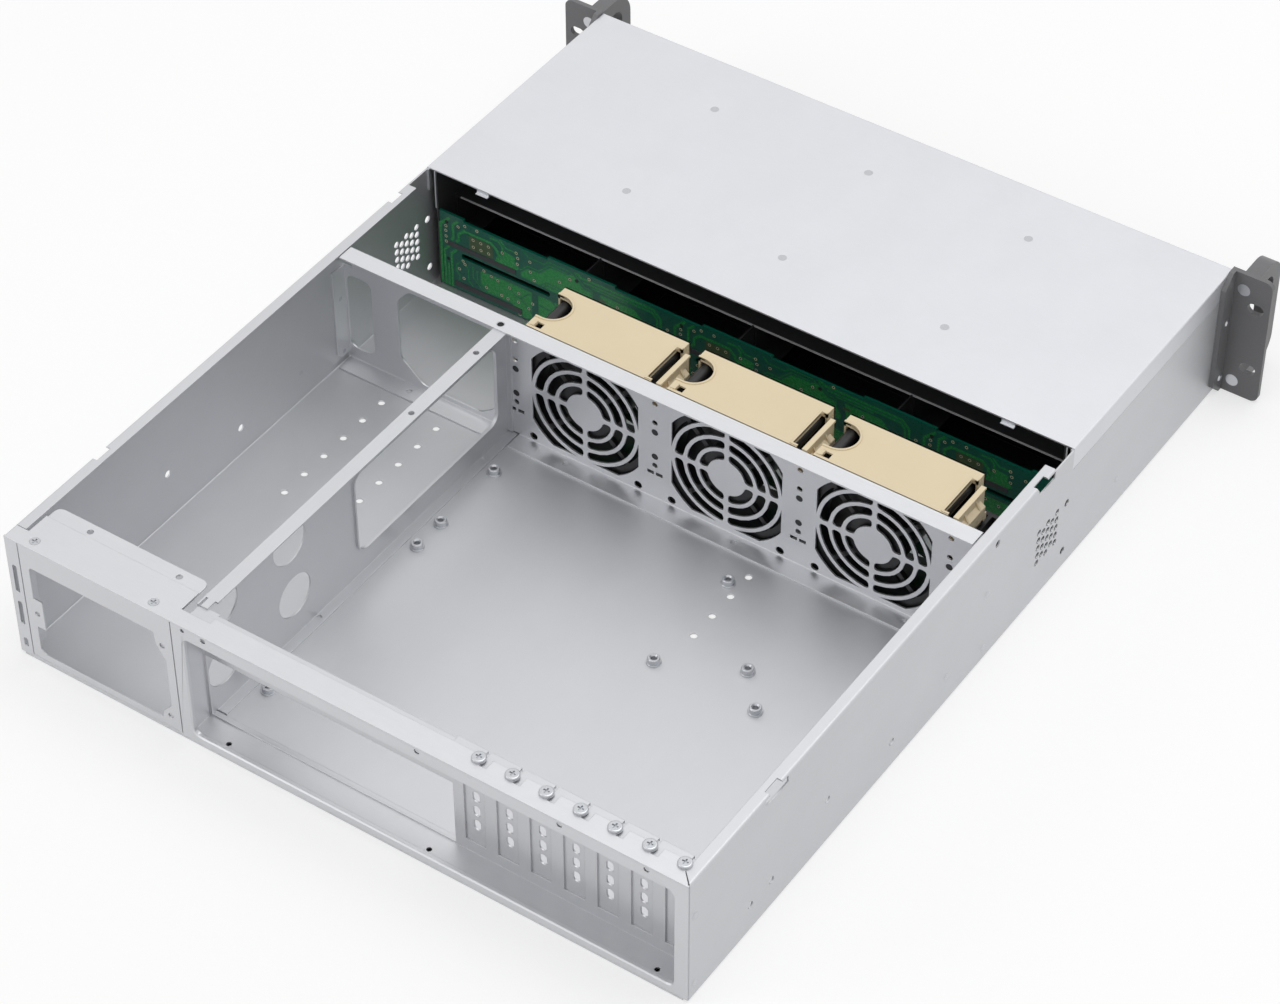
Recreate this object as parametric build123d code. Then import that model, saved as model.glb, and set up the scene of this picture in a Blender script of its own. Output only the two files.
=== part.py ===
from build123d import *
import os

# Empty 2U rackmount server case, in mm.
# The origin is in the middle of the underside, +Z is up, the rear panel faces +Y
# and the power supply bay is on the +X side.

# Sheet metal
SHEET = 1.0
BEND = 0.6
FLANGE = 7.0
WEB = 1.2
FIT = 0.05

# Standard sizes that the case is built round
FAN_SIZE = 80.0
FAN_DEPTH = 38.0
FAN_COUNT = 3
IO_WIDTH = 158.75
IO_HEIGHT = 44.45
SLOT_COUNT = 7
SLOT_PITCH = 20.32
SLOT_WIDTH = 12.7
RACK_UNIT = 44.45
RACK_WIDTH = 482.6
RACK_HOLES = 465.1

# Across the case, from the left side wall
LEFT_STRIP = 9.3
PSU_PLATE = 102.3
PSU_SIDE = 118.0
IO_GAP = 6.5
RIGHT_MARGIN = 12.13
WIDTH = (PSU_SIDE + IO_WIDTH + IO_GAP + (SLOT_COUNT - 1) * SLOT_PITCH
         + SLOT_WIDTH + RIGHT_MARGIN)

# Up the case, from the underside
FAN_FLOOR_GAP = 0.5
FAN_HEADROOM = 1.8
HOUSING_WALL = 1.2
LID_GAP = 1.0
HEIGHT = 2 * SHEET + FAN_FLOOR_GAP + FAN_SIZE + FAN_HEADROOM + HOUSING_WALL + LID_GAP

# Along the case, from the rear panel
BOARD_BAY = 288.0
MODULE_GAP = 0.5
FAN_LIP = 1.0
CABLE_SPACE = 41.9
BOARD_THICK = 1.6
BAY_DEPTH = 176.8
MODULE_DEPTH = FAN_DEPTH + 2 * FAN_LIP
DEPTH = BOARD_BAY + WEB + MODULE_GAP + MODULE_DEPTH + CABLE_SPACE + BOARD_THICK + BAY_DEPTH

# Faces that other pieces are measured from
LEFT = WIDTH / 2
RIGHT = -WIDTH / 2
REAR = DEPTH / 2
FRONT = -DEPTH / 2
WALL = LEFT - SHEET
TOP = HEIGHT - SHEET
REAR_IN = REAR - SHEET
IO_LEFT = LEFT - PSU_SIDE
SLOT_LEFT = IO_LEFT - IO_WIDTH - IO_GAP

# Rear panel
OPENING_SIDE = 9.0
OPENING_LOW = 6.3
OPENING_TOP = 76.8
OPENING_ROUND = 4.5
COLLAR = 3.0
REAR_LIP = 14.0
PSU_LIP = 24.0
CORNER_LIP = 10.0
PSU_SILL = 3.0
RETURN_FLANGE = 12.0

# Recessed wall behind the rear opening
RECESS = 17.0
RECESS_EDGE = 2.2
RECESS_FLOOR = 5.0
IO_SILL = 6.0
SLOT_SILL = 12.7
SLOT_HEIGHT = 68.0
LEDGE = 14.0
SLOT_SCREW_IN = 11.3
SLOT_SCREW_OFF = 15.2
SLOT_SCREW_HEAD = 3.9
SCREW_SHANK = 1.7

# Slot covers
COVER_WIDTH = 18.4
COVER_TAB = 14.0
COVER_FOOT = 6.0
KNOCK_WIDTH = 4.4
KNOCK_HEIGHT = 7.5
KNOCK_PITCH = 10.45
KNOCK_TOP = 47.0

# Power supply bracket
PSU_LIP_DEPTH = 33.6
PSU_WINDOW_WIDTH = 90.6
PSU_WINDOW_HEIGHT = 63.7
PSU_WINDOW_LOW = 7.5
PSU_WINDOW_IN = 6.0
PSU_SCREW_X = (LEFT - 16.8, LEFT - 96.6)

# Divider between the power supply bay and the board bay
DIVIDER_X = LEFT - 115.8
DIVIDER_TOP_FLANGE = 8.7
DIVIDER_FOOT = 6.9
DIVIDER_REAR = 24.7
WINDOW_REAR = 147.5
WINDOW_FRONT = 276.2
WINDOW_LOW = 17.5
WINDOW_HIGH = 74.0
CABLE_HOLE = 13.5

# Fan wall and the three fan modules
FAN_STEP = FAN_SIZE + 14.1
FAN_FIRST_X = LEFT - 168.5
FAN_Z = SHEET + FAN_FLOOR_GAP + FAN_SIZE / 2
FAN_WALL_Y = REAR - BOARD_BAY
WALL_FRONT_Y = FAN_WALL_Y - WEB
FAN_BORE = FAN_SIZE / 2 - 2.0
SCREW_SQUARE = FAN_SIZE / 2 - 4.25
POST_RADIUS = 4.0
FAN_HOLE = 2.15
HUB_RADIUS = 17.0
SHAFT_RADIUS = 1.5
BLADE_COUNT = 7
BLADE_GAP = 1.0
FAN_FLANGE = 4.0
GRILLE_HUB = 11.0
GRILLE_RIB = 2.5
GRILLE_WEB = 3.2
WALL_FLANGE = 10.7
FOOT_FLANGE = 12.0
HOUSING_SPARE = 1.2
NOTCH_RADIUS = 13.6
LATCH_REACH = 8.0
PIVOT_Z = 60.0
PIN_RADIUS = 1.5
GUIDE_WIDTH = 8.0
GUIDE_HEIGHT = 54.0
COLUMN_OFF = 47.05

# Drive bays
BAY_COLUMNS = 4
BAY_ROWS = 2
CAGE_SHEET = 1.0
CAGE_GAP = 4.5
BAY_HEIGHT = 26.5
TRAY_GAP = 0.2
TRAY_WALL = 0.7
DRIVE_LENGTH = 147.0
BEZEL = 14.0
LEVER_HEIGHT = 11.0
LEVER_THICK = 4.0
LEVER_PIN = 1.5
CAGE_TOP_SHORT = 14.8
COVER_SKIRT = 15.0
COVER_OVER = 0.7
RAIL_WIDTH = 12.0
COVER_RIVET_X = 106.4
COVER_RIVET_ROWS = (41.0, 133.0)

# Rack ears and handles
EAR_THICK = 3.0
EAR_PROUD = 1.0
EAR_HEIGHT = 2 * RACK_UNIT - 0.8
EAR_DEPTH = 14.0
EAR_CORNER = 5.0
RACK_SLOT = 10.0
RACK_SLOT_HIGH = 6.8
HANDLE_WIDTH = 9.5
HANDLE_REACH = 35.0
HANDLE_LEG = 9.0
HANDLE_LOW = 4.8
HANDLE_HIGH = 81.3
HANDLE_ROUND = 16.0
HANDLE_X = 9.0

# Board standoffs
BOARD_X = LEFT - 128.8
BOARD_Y = REAR - 27.5
STANDOFF_HIGH = 4.0
STANDOFF_TOP = 3.6
STANDOFF_FOOT = 4.2
STANDOFF_BORE = 1.4

# Rivets
RIVET_HEAD = 2.4
RIVET_HIGH = 0.8
RIVET_SHANK = 1.5

# Values worked out from the sizes above
CAGE_INNER = WALL - SHEET - CAGE_GAP
CAGE_OUTER = CAGE_INNER + CAGE_SHEET
BAY_WIDTH = (2 * CAGE_INNER - (BAY_COLUMNS - 1) * CAGE_SHEET) / BAY_COLUMNS
BAY_STEP = BAY_WIDTH + CAGE_SHEET
CAGE_FLOOR = SHEET + CAGE_SHEET
ROW_STEP = BAY_HEIGHT + CAGE_SHEET
CAGE_TOP = CAGE_FLOOR + BAY_ROWS * ROW_STEP
BOARD_FRONT_Y = FRONT + BAY_DEPTH
BOARD_REAR_Y = BOARD_FRONT_Y + BOARD_THICK
COVER_REAR_Y = BOARD_REAR_Y + COVER_OVER
SKIRT_Z = HEIGHT - COVER_SKIRT
FLANGE_END_Y = COVER_REAR_Y + 19.5
TRAY_WIDTH = BAY_WIDTH - 2 * TRAY_GAP
MODULE_REAR_Y = WALL_FRONT_Y - MODULE_GAP
MODULE_FRONT_Y = MODULE_REAR_Y - MODULE_DEPTH
MODULE_TOP = TOP - LID_GAP


def fan_x(index):
    return FAN_FIRST_X - index * FAN_STEP


def column_x(index):
    return FAN_FIRST_X + COLUMN_OFF - index * FAN_STEP


def from_rear(distance):
    return REAR - distance


def block(x0, x1, y0, y1, z0, z1):
    """A block between two corners."""
    return Pos((x0 + x1) / 2, (y0 + y1) / 2, (z0 + z1) / 2) * Box(x1 - x0, y1 - y0, z1 - z0)


def rect(u0, u1, v0, v1, corner=0.0):
    """A flat rectangle between two corners, with round corners if asked."""
    place = Pos((u0 + u1) / 2, (v0 + v1) / 2)
    if corner:
        return place * RectangleRounded(u1 - u0, v1 - v0, corner)
    return place * Rectangle(u1 - u0, v1 - v0)


def shape(*points):
    """A flat polygon through points."""
    return make_face(Polyline(*points, close=True))


def dot(u, v, radius):
    return Pos(u, v) * Circle(radius)


def upright_slot(u, v, width, height):
    return Pos(u, v) * SlotOverall(height, width, rotation=90)


def plate_x(sketch, x0, x1):
    """A plate whose outline is drawn on Y and Z, from x0 to x1."""
    return extrude(Plane.YZ.offset(x0) * sketch, x1 - x0)


def plate_y(sketch, y0, y1):
    """A plate whose outline is drawn on X and Z, from y0 to y1."""
    return extrude(Plane.XZ.offset(-y1) * sketch, y1 - y0)


def plate_z(sketch, z0, z1):
    """A plate whose outline is drawn on X and Y, from z0 to z1."""
    return extrude(Plane.XY.offset(z0) * sketch, z1 - z0)


def rod_x(x0, x1, y, z, radius):
    return plate_x(dot(y, z, radius), x0, x1)


def rod_y(y0, y1, x, z, radius):
    return plate_y(dot(x, z, radius), y0, y1)


def rod_z(z0, z1, x, y, radius):
    return plate_z(dot(x, y, radius), z0, z1)


def mirrored(solid):
    """The same piece on the other side of the case."""
    return mirror(solid, about=Plane.YZ)


# Base tray: floor and side walls folded from one sheet

WALL_HOLE = 2.3
VENT_RADIUS = 2.05
VENT_PITCH_Y = 4.85
VENT_PITCH_Z = 5.6
FLOOR_HOLE = 2.1

WALL_HOLES = ((367.6, 49.4), (367.6, 13.5), (290.6, 80.5), (189.6, 19.0),
              (126.7, 32.2), (75.0, 20.0), (55.8, 19.5))
WALL_RIVETS = ((283.0, 48.8), (283.0, 9.2), (244.5, 20.0), (427.3, 20.4))
REAR_RIVETS = ((6.1, 59.8), (6.1, 9.2))


def vent_places():
    """Five staggered columns of round holes, centred on the strip before the drive cage."""
    places = []
    for column in range(5):
        rows = 5 - column % 2
        y = from_rear(347.3) + (2 - column) * VENT_PITCH_Y
        for row in range(rows):
            places.append((y, 39.5 + (row - (rows - 1) / 2) * VENT_PITCH_Z))
    return places


def floor_holes():
    holes = []
    for row in range(6):
        for x in (LEFT - 40.9, LEFT - 79.8):
            holes.append((x, from_rear(266.3 - 18.0 * row)))
    for row in range(4):
        holes.append((LEFT - 292.9, from_rear(265.1 - 18.0 * row)))
    return holes


def lid_notches(tray):
    """T-shaped notches in both side walls, which the sliding lid hooks into."""
    cuts = []
    notches = ((FLANGE_END_Y + 0.9, FLANGE_END_Y + 17.9, FLANGE_END_Y + 8.4, FLANGE_END_Y + 18.7),
               (from_rear(88.0), from_rear(68.0), from_rear(82.8), from_rear(71.6)))
    for y0, y1, slit0, slit1 in notches:
        for side in (-1, 1):
            wall = (side * (WALL - 0.1), side * (LEFT + 1))
            slit = (side * (LEFT - FLANGE / 2), side * (LEFT + 1))
            cuts.append(block(min(wall), max(wall), y0, y1, TOP - 4.5, TOP))
            cuts.append(block(min(slit), max(slit), slit0, slit1, TOP - 1.0, HEIGHT + 1))
    return tray - cuts


def base_tray():
    outline = Pos(0, HEIGHT / 2) * RectangleRounded(WIDTH, HEIGHT, BEND + SHEET)
    hollow = Pos(0, HEIGHT / 2) * RectangleRounded(WIDTH - 2 * SHEET, HEIGHT - 2 * SHEET, BEND)
    mouth = rect(-(LEFT - FLANGE), LEFT - FLANGE, HEIGHT / 2, HEIGHT + 1)
    lid_space = rect(RIGHT - 1, LEFT + 1, TOP, HEIGHT + 1)
    skirt_space = rect(WALL, LEFT + 1, SKIRT_Z - 0.3, HEIGHT + 1)
    joggle = rect(WALL - SHEET, WALL, SKIRT_Z - SHEET - 0.3, TOP)
    skirt_spaces = skirt_space + mirror(skirt_space, about=Plane.YZ)
    joggles = joggle + mirror(joggle, about=Plane.YZ)
    flanged = outline - hollow - mouth
    plain = flanged - lid_space + rect(-LEFT, -WALL, HEIGHT / 2, TOP) + rect(WALL, LEFT, HEIGHT / 2, TOP)
    plain = plain - rect(-WALL, WALL, HEIGHT / 2, HEIGHT + 1)
    stepped = plain - skirt_spaces + joggles
    rear_gap = CORNER_LIP + 0.4
    tray = plate_y(flanged, FLANGE_END_Y, REAR_IN)
    tray += plate_y(plain, COVER_REAR_Y, FLANGE_END_Y)
    tray += plate_y(stepped, FRONT, COVER_REAR_Y)
    tray += plate_y(joggles, COVER_REAR_Y, COVER_REAR_Y + SHEET)
    tray -= block(LEFT - FLANGE - 1, WALL - BEND, from_rear(rear_gap), REAR, TOP - 0.1, HEIGHT + 1)
    tray -= block(WALL - BEND - 0.1, LEFT + 1, from_rear(rear_gap), REAR, TOP, HEIGHT + 1)
    corner = shape((RIGHT - 1, REAR_IN + 1), (RIGHT + FLANGE + 1, REAR_IN + 1),
                   (RIGHT + FLANGE + 1, REAR_IN - FLANGE - 1), (RIGHT + FLANGE, REAR_IN - FLANGE))
    tray -= plate_z(corner, TOP, HEIGHT + 1)
    cuts = []
    for distance, z in WALL_HOLES:
        cuts.append(rod_x(RIGHT - 1, LEFT + 1, from_rear(distance), z, WALL_HOLE))
    for distance, z in WALL_RIVETS + REAR_RIVETS:
        cuts.append(rod_x(RIGHT - 1, LEFT + 1, from_rear(distance), z, RIVET_SHANK + FIT))
    for y, z in vent_places():
        cuts.append(rod_x(RIGHT - 1, LEFT + 1, y, z, VENT_RADIUS))
    for x, y in floor_holes():
        cuts.append(rod_z(-1, SHEET + 1, x, y, FLOOR_HOLE))
    return lid_notches(tray - cuts)


# Rear panel

def rear_panel():
    opening = rect(RIGHT + OPENING_SIDE, IO_LEFT - 1.2, OPENING_LOW, OPENING_TOP, OPENING_ROUND)
    collar_in = rect(RIGHT + OPENING_SIDE - SHEET, IO_LEFT - 1.2 + SHEET, OPENING_LOW - SHEET,
                     OPENING_TOP + SHEET, OPENING_ROUND + SHEET)
    psu_left = LEFT - LEFT_STRIP
    psu_space = rect(psu_left - PSU_PLATE, psu_left, PSU_SILL, TOP)
    face = rect(RIGHT, LEFT, 0, HEIGHT) - opening - psu_space
    for low, high in ((47.3, 67.3), (23.3, 40.5), (6.5, 12.9)):
        face -= upright_slot(LEFT - 4.8, (low + high) / 2, 3.0, high - low)
    panel = plate_y(face, REAR_IN, REAR)
    panel += plate_y(collar_in - opening, REAR - COLLAR, REAR_IN)
    lip = rect(IO_LEFT - 12.4, LEFT - SHEET, REAR - SHEET, from_rear(CORNER_LIP)) \
        + rect(psu_left - PSU_PLATE, psu_left, REAR, from_rear(PSU_LIP)) \
        + rect(RIGHT + FLANGE, IO_LEFT - 12.4, REAR, from_rear(REAR_LIP))
    lip += shape((RIGHT + FLANGE, REAR_IN), (RIGHT + SHEET, REAR_IN + 0.4),
                 (RIGHT + FLANGE, REAR_IN - FLANGE + 0.6))
    notches = []
    for index in range(SLOT_COUNT):
        x = SLOT_LEFT - index * SLOT_PITCH
        notches.append(rect(x - 22.0, x - 17.7, from_rear(REAR_LIP + 1), from_rear(7.7)))
        notches.append(dot(x - SLOT_SCREW_OFF, from_rear(SLOT_SCREW_IN), SCREW_SHANK + FIT))
    for x in (IO_LEFT - 16.0, IO_LEFT - 152.0, IO_LEFT - 237.1):
        notches.append(dot(x, from_rear(5.0), 1.75))
    panel += plate_z(lip - notches, TOP, HEIGHT)
    for x in PSU_SCREW_X:
        panel -= countersunk(x, from_rear(5.9), HEIGHT, 2.9 + FIT, SHEET, 3.0, SCREW_SHANK + FIT)
    flange = plate_x(rect(from_rear(RETURN_FLANGE), REAR_IN, SHEET + 1, TOP - 8), WALL - SHEET, WALL)
    for distance, z in REAR_RIVETS:
        flange -= rod_x(0, LEFT, from_rear(distance), z, RIVET_SHANK + FIT)
    panel += flange
    panel += mirrored(flange)
    return panel


# Recessed wall with the board's port opening, the slot openings and the screw ledge

def io_slot_wall():
    rear = from_rear(RECESS)
    left = IO_LEFT + RECESS_EDGE - SHEET
    right = SLOT_LEFT - (SLOT_COUNT - 1) * SLOT_PITCH - SLOT_WIDTH - 5.1
    ledge_top = TOP - SHEET
    face = rect(right - SHEET, left + SHEET, RECESS_FLOOR - SHEET, ledge_top)
    face -= rect(IO_LEFT - IO_WIDTH, IO_LEFT, IO_SILL, IO_SILL + IO_HEIGHT)
    for index in range(SLOT_COUNT):
        x = SLOT_LEFT - index * SLOT_PITCH
        face -= rect(x - SLOT_WIDTH, x, SLOT_SILL, SLOT_SILL + SLOT_HEIGHT)
    wall = plate_y(face, rear - SHEET, rear)
    floor = rect(right - SHEET, left + SHEET, rear, REAR - COLLAR)
    for x in (IO_LEFT - 20.0, IO_LEFT - 150.0, IO_LEFT - 290.0):
        floor -= dot(x, from_rear(5.8), 1.5)
    wall += plate_z(floor, RECESS_FLOOR - SHEET, RECESS_FLOOR)
    side = rect(rear, REAR - COLLAR, RECESS_FLOOR, ledge_top)
    wall += plate_x(side, left, left + SHEET)
    wall += plate_x(side, right - SHEET, right)
    ledge = rect(right - SHEET, left + SHEET, rear, rear + LEDGE)
    ledge += rect(IO_LEFT - 11.2, IO_LEFT + 0.8, rear - 2.4, rear)
    for index in range(SLOT_COUNT):
        x = SLOT_LEFT - index * SLOT_PITCH - SLOT_SCREW_OFF
        ledge -= dot(x, from_rear(SLOT_SCREW_IN), SCREW_SHANK + FIT)
    for x in (IO_LEFT - 16.0, IO_LEFT - 152.0, IO_LEFT - 237.1):
        ledge -= dot(x, from_rear(5.0), 1.4)
    wall += plate_z(ledge, ledge_top - SHEET, ledge_top)
    foot = rect(right - SHEET, left + SHEET, rear - 6.0, rear)
    wall += plate_z(foot, SHEET, 2 * SHEET)
    wall += plate_y(rect(right - SHEET, left + SHEET, SHEET, RECESS_FLOOR), rear - SHEET, rear)
    return wall


def slot_cover(index):
    """Blanking plate with three oblong knock-outs, its tab on the ledge and its foot below."""
    rear = from_rear(RECESS) - SHEET
    left = SLOT_LEFT - index * SLOT_PITCH + (COVER_WIDTH - SLOT_WIDTH) / 2
    right = left - COVER_WIDTH
    middle = (left + right) / 2
    foot = SLOT_SILL - 2.5
    face = shape((left, TOP), (right, TOP), (right, foot), (middle - COVER_FOOT, foot - 2.5),
                 (middle - COVER_FOOT, foot - 6.0), (middle + COVER_FOOT, foot - 6.0),
                 (middle + COVER_FOOT, foot - 2.5), (left, foot))
    for row in range(3):
        face -= upright_slot(middle - 0.8, KNOCK_TOP - row * KNOCK_PITCH, KNOCK_WIDTH, KNOCK_HEIGHT)
    cover = plate_y(face, rear - SHEET, rear)
    tab = rect(right, left, rear, rear + COVER_TAB)
    screw_x = SLOT_LEFT - index * SLOT_PITCH - SLOT_SCREW_OFF
    tab -= dot(screw_x, from_rear(SLOT_SCREW_IN), SCREW_SHANK + FIT)
    return cover + plate_z(tab, TOP - SHEET, TOP)


def pan_screw(x, y, head_z, radius, length):
    """Pan-head cross-recess screw, its head standing on head_z."""
    head = rod_z(head_z, head_z + 1.9, x, y, radius)
    head = fillet(head.edges().sort_by(Axis.Z)[-1], 0.9)
    for wide, deep in ((3.6, 0.9), (0.9, 3.6)):
        head -= block(x - wide / 2, x + wide / 2, y - deep / 2, y + deep / 2, head_z + 1.0, head_z + 3)
    return head + rod_z(head_z - length, head_z, x, y, SCREW_SHANK)


def slot_screws():
    screws = []
    for index in range(SLOT_COUNT):
        x = SLOT_LEFT - index * SLOT_PITCH - SLOT_SCREW_OFF
        screws.append(pan_screw(x, from_rear(SLOT_SCREW_IN), HEIGHT, SLOT_SCREW_HEAD, 5.0))
    return screws


# Power supply bracket

def psu_window():
    """Opening for the power supply, with the corner steps of the real cut-out."""
    left = LEFT - LEFT_STRIP - PSU_WINDOW_IN
    right = left - PSU_WINDOW_WIDTH
    low = PSU_WINDOW_LOW
    high = low + PSU_WINDOW_HEIGHT
    return shape((left, low + 2.7), (left, low + 20.0), (left - 5.8, low + 20.0),
                 (left - 5.8, low + 40.5), (left, low + 40.5), (left, high - 1.4),
                 (left - 1.4, high), (right + 6.6, high), (right + 5.7, high - 8.2),
                 (right, high - 17.6), (right, low + 12.3), (right + 5.9, low + 5.5),
                 (right + 7.0, low), (left - 2.7, low))


def psu_bracket():
    left = LEFT - LEFT_STRIP
    right = left - PSU_PLATE
    face = rect(right + FIT, left - FIT, PSU_SILL, TOP) - psu_window()
    window_right = left - PSU_WINDOW_IN - PSU_WINDOW_WIDTH
    holes = ((window_right + 1.5, 63.8), (window_right + 1.4, 11.6), (left - 7.4, 37.4))
    for x, z in holes:
        face -= dot(x, z, 1.75)
    bracket = plate_y(face, REAR_IN, REAR)
    lip = rect(right + FIT, left - FIT, from_rear(PSU_LIP_DEPTH), REAR_IN)
    lip = fillet(lip.vertices().group_by(Axis.Y)[0], 5.0)
    for x in (LEFT - 35.5, LEFT - 95.2):
        lip -= dot(x, from_rear(28.2), 1.9)
    for x in PSU_SCREW_X:
        lip -= dot(x, from_rear(5.9), SCREW_SHANK + FIT)
    bracket += plate_z(lip, TOP - SHEET, TOP)
    flange = rect(from_rear(9.0), REAR_IN, PSU_SILL + 6.0, TOP - 8.0)
    bracket += plate_x(flange, right + FIT, right + FIT + SHEET)
    bracket += plate_x(flange, left - FIT - SHEET, left - FIT)
    return bracket


def countersunk(x, y, top_z, head, depth, length, shank):
    """Countersunk screw or rivet, its flat head flush with top_z."""
    cone = Pos(x, y, top_z - depth / 2) * Cone(shank, head, depth)
    return cone + rod_z(top_z - length, top_z - depth, x, y, shank)


def psu_screws():
    return [countersunk(x, from_rear(5.9), HEIGHT, 2.9, SHEET, 5.0, SCREW_SHANK)
            for x in PSU_SCREW_X]


# Divider wall

def divider_wall():
    rear = from_rear(DIVIDER_REAR)
    front = FAN_WALL_Y
    high = TOP
    web = rect(front, from_rear(18.3), SHEET, high)
    web -= rect(from_rear(WINDOW_FRONT), from_rear(WINDOW_REAR), WINDOW_LOW, WINDOW_HIGH, 7.0)
    for distance, z in ((93.0, 30.0), (92.0, 69.5), (35.0, 69.5), (33.0, 29.5)):
        web -= dot(from_rear(distance), z, CABLE_HOLE)
    wall = plate_x(web, DIVIDER_X, DIVIDER_X + SHEET)
    edge = rect(from_rear(WINDOW_FRONT) - SHEET, from_rear(WINDOW_REAR) + SHEET,
                WINDOW_LOW - SHEET, WINDOW_HIGH + SHEET, 7.0 + SHEET)
    edge -= rect(from_rear(WINDOW_FRONT), from_rear(WINDOW_REAR), WINDOW_LOW, WINDOW_HIGH, 7.0)
    wall += plate_x(edge, DIVIDER_X - 1.2, DIVIDER_X)
    flange = rect(DIVIDER_X + SHEET - DIVIDER_TOP_FLANGE, DIVIDER_X, front, rear)
    flange += rect(DIVIDER_X - 5.9, DIVIDER_X - 1.5, rear - 1, from_rear(18.3))
    for distance in (255.6, 196.2):
        flange -= dot(DIVIDER_X - 3.3, from_rear(distance), 1.75)
    wall += plate_z(flange, high - SHEET, high)
    foot = rect(DIVIDER_X + SHEET - DIVIDER_FOOT, DIVIDER_X, front, from_rear(24.0))
    for distance in (259.5, 108.3):
        foot -= dot(DIVIDER_X - 2.1, from_rear(distance), 1.75)
    wall += plate_z(foot, SHEET, 2 * SHEET)
    wall += plate_y(rect(DIVIDER_X - 3.0, DIVIDER_X, FOOT_CLEAR, high - SHEET), front, front + SHEET)
    return wall


FOOT_CLEAR = 2 * SHEET + 0.5


# Fan wall: grilles, column holes, windows and folded edges

def grille_slots(x):
    """Ring slots and corner slots in front of one fan, parted by a cross of webs."""
    cross = rect(-GRILLE_WEB / 2, GRILLE_WEB / 2, -FAN_SIZE, FAN_SIZE)
    cross += rect(-FAN_SIZE, FAN_SIZE, -GRILLE_WEB / 2, GRILLE_WEB / 2)
    reach = SCREW_SQUARE + 0.25
    ring = (reach - 2.1 - GRILLE_HUB - 3 * GRILLE_RIB + 2.5) / 3
    slots = []
    inner = GRILLE_HUB
    for _ in range(3):
        slots.append(Circle(inner + ring - 0.4) - Circle(inner) - cross)
        inner += ring + GRILLE_RIB - 0.4
    square = Rectangle(2 * reach, 2 * reach) & Circle(reach * 1.175)
    slots.append(square - Circle(inner) - cross)
    return [Pos(x, FAN_Z) * slot for slot in slots]


def fan_wall():
    flat_half = LEFT - FLANGE - 1.0
    low = SHEET
    face = rect(-WALL + SHEET, WALL - SHEET, low, 71.0)
    face += rect(-flat_half, flat_half, 71.0 - 1, HEIGHT)
    face -= rect(LEFT - 20.7, LEFT - 3.0, 10.5, 64.8, 6.0)
    big = shape((LEFT - 39.0, 61.8), (LEFT - 48.0, 72.0), (LEFT - 106.0, 72.0), (LEFT - 106.0, 12.9),
                (LEFT - 96.0, 5.4), (LEFT - 55.0, 5.4), (LEFT - 39.4, 19.3))
    face -= fillet(big.vertices(), 3.0)
    cuts = []
    for index in range(FAN_COUNT):
        cuts += grille_slots(fan_x(index))
        for du in (-1, 1):
            for dv in (-1, 1):
                cuts.append(dot(fan_x(index) + du * SCREW_SQUARE, FAN_Z + dv * SCREW_SQUARE, FAN_HOLE))
    for index in range(-1, FAN_COUNT + 1):
        x = column_x(index)
        for z in (72.0, 58.1, 26.3):
            cuts.append(dot(x, z, 1.8))
        for z in (51.0, 32.9):
            cuts.append(dot(x, z, 2.2))
        for dx in (-2.9, 2.9):
            cuts.append(rect(x + dx - 2.2, x + dx + 2.2, 19.0, 21.5))
    face -= cuts
    wall = plate_y(face, WALL_FRONT_Y, FAN_WALL_Y)
    top = rect(-flat_half, flat_half, FAN_WALL_Y, FAN_WALL_Y + WALL_FLANGE)
    top -= dot(DIVIDER_X - 1.1, FAN_WALL_Y + 6.3, 2.5)
    wall += plate_z(top, TOP, HEIGHT)
    foot = rect(-WALL + 2 * SHEET, WALL - 2 * SHEET, FAN_WALL_Y, FAN_WALL_Y + FOOT_FLANGE)
    foot -= rect(DIVIDER_X + SHEET - DIVIDER_FOOT - 1, DIVIDER_X + SHEET + 0.5, FAN_WALL_Y, REAR)
    for x in (LEFT - 48.9, LEFT - 158.7, LEFT - 271.9, LEFT - 381.3):
        foot -= dot(x, FAN_WALL_Y + 5.8, 1.75)
    wall += plate_z(foot, low, low + SHEET)
    end = shape((FAN_WALL_Y - WEB, 6.0), (FAN_WALL_Y + 7.0, 6.0), (FAN_WALL_Y + 11.0, 10.0),
                (FAN_WALL_Y + 11.0, 71.0), (FAN_WALL_Y - WEB, 71.0))
    for distance, z in WALL_RIVETS[:2]:
        end -= dot(from_rear(distance), z, RIVET_SHANK + FIT)
    flange = plate_x(end, WALL - SHEET, WALL)
    return wall + flange + mirrored(flange)


def fan_guides():
    """Plastic posts behind the wall, between which the fan modules slide up and out."""
    guides = []
    front = MODULE_FRONT_Y - 0.5
    for index in range(FAN_COUNT + 1):
        x = column_x(index)
        top = SHEET + GUIDE_HEIGHT
        guide = block(x - GUIDE_WIDTH / 2, x + GUIDE_WIDTH / 2, WALL_FRONT_Y - 2.5, WALL_FRONT_Y, SHEET, top)
        guide += block(x - 1.2, x + 1.2, front - 3.0, WALL_FRONT_Y, SHEET, top)
        guide += block(x - GUIDE_WIDTH, x + GUIDE_WIDTH, front - 3.0, front, SHEET, top)
        for z in (51.0, 32.9):
            guide += rod_y(WALL_FRONT_Y, FAN_WALL_Y, x, z, 2.1)
        guides.append(guide)
    return guides


# Fan modules

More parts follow.
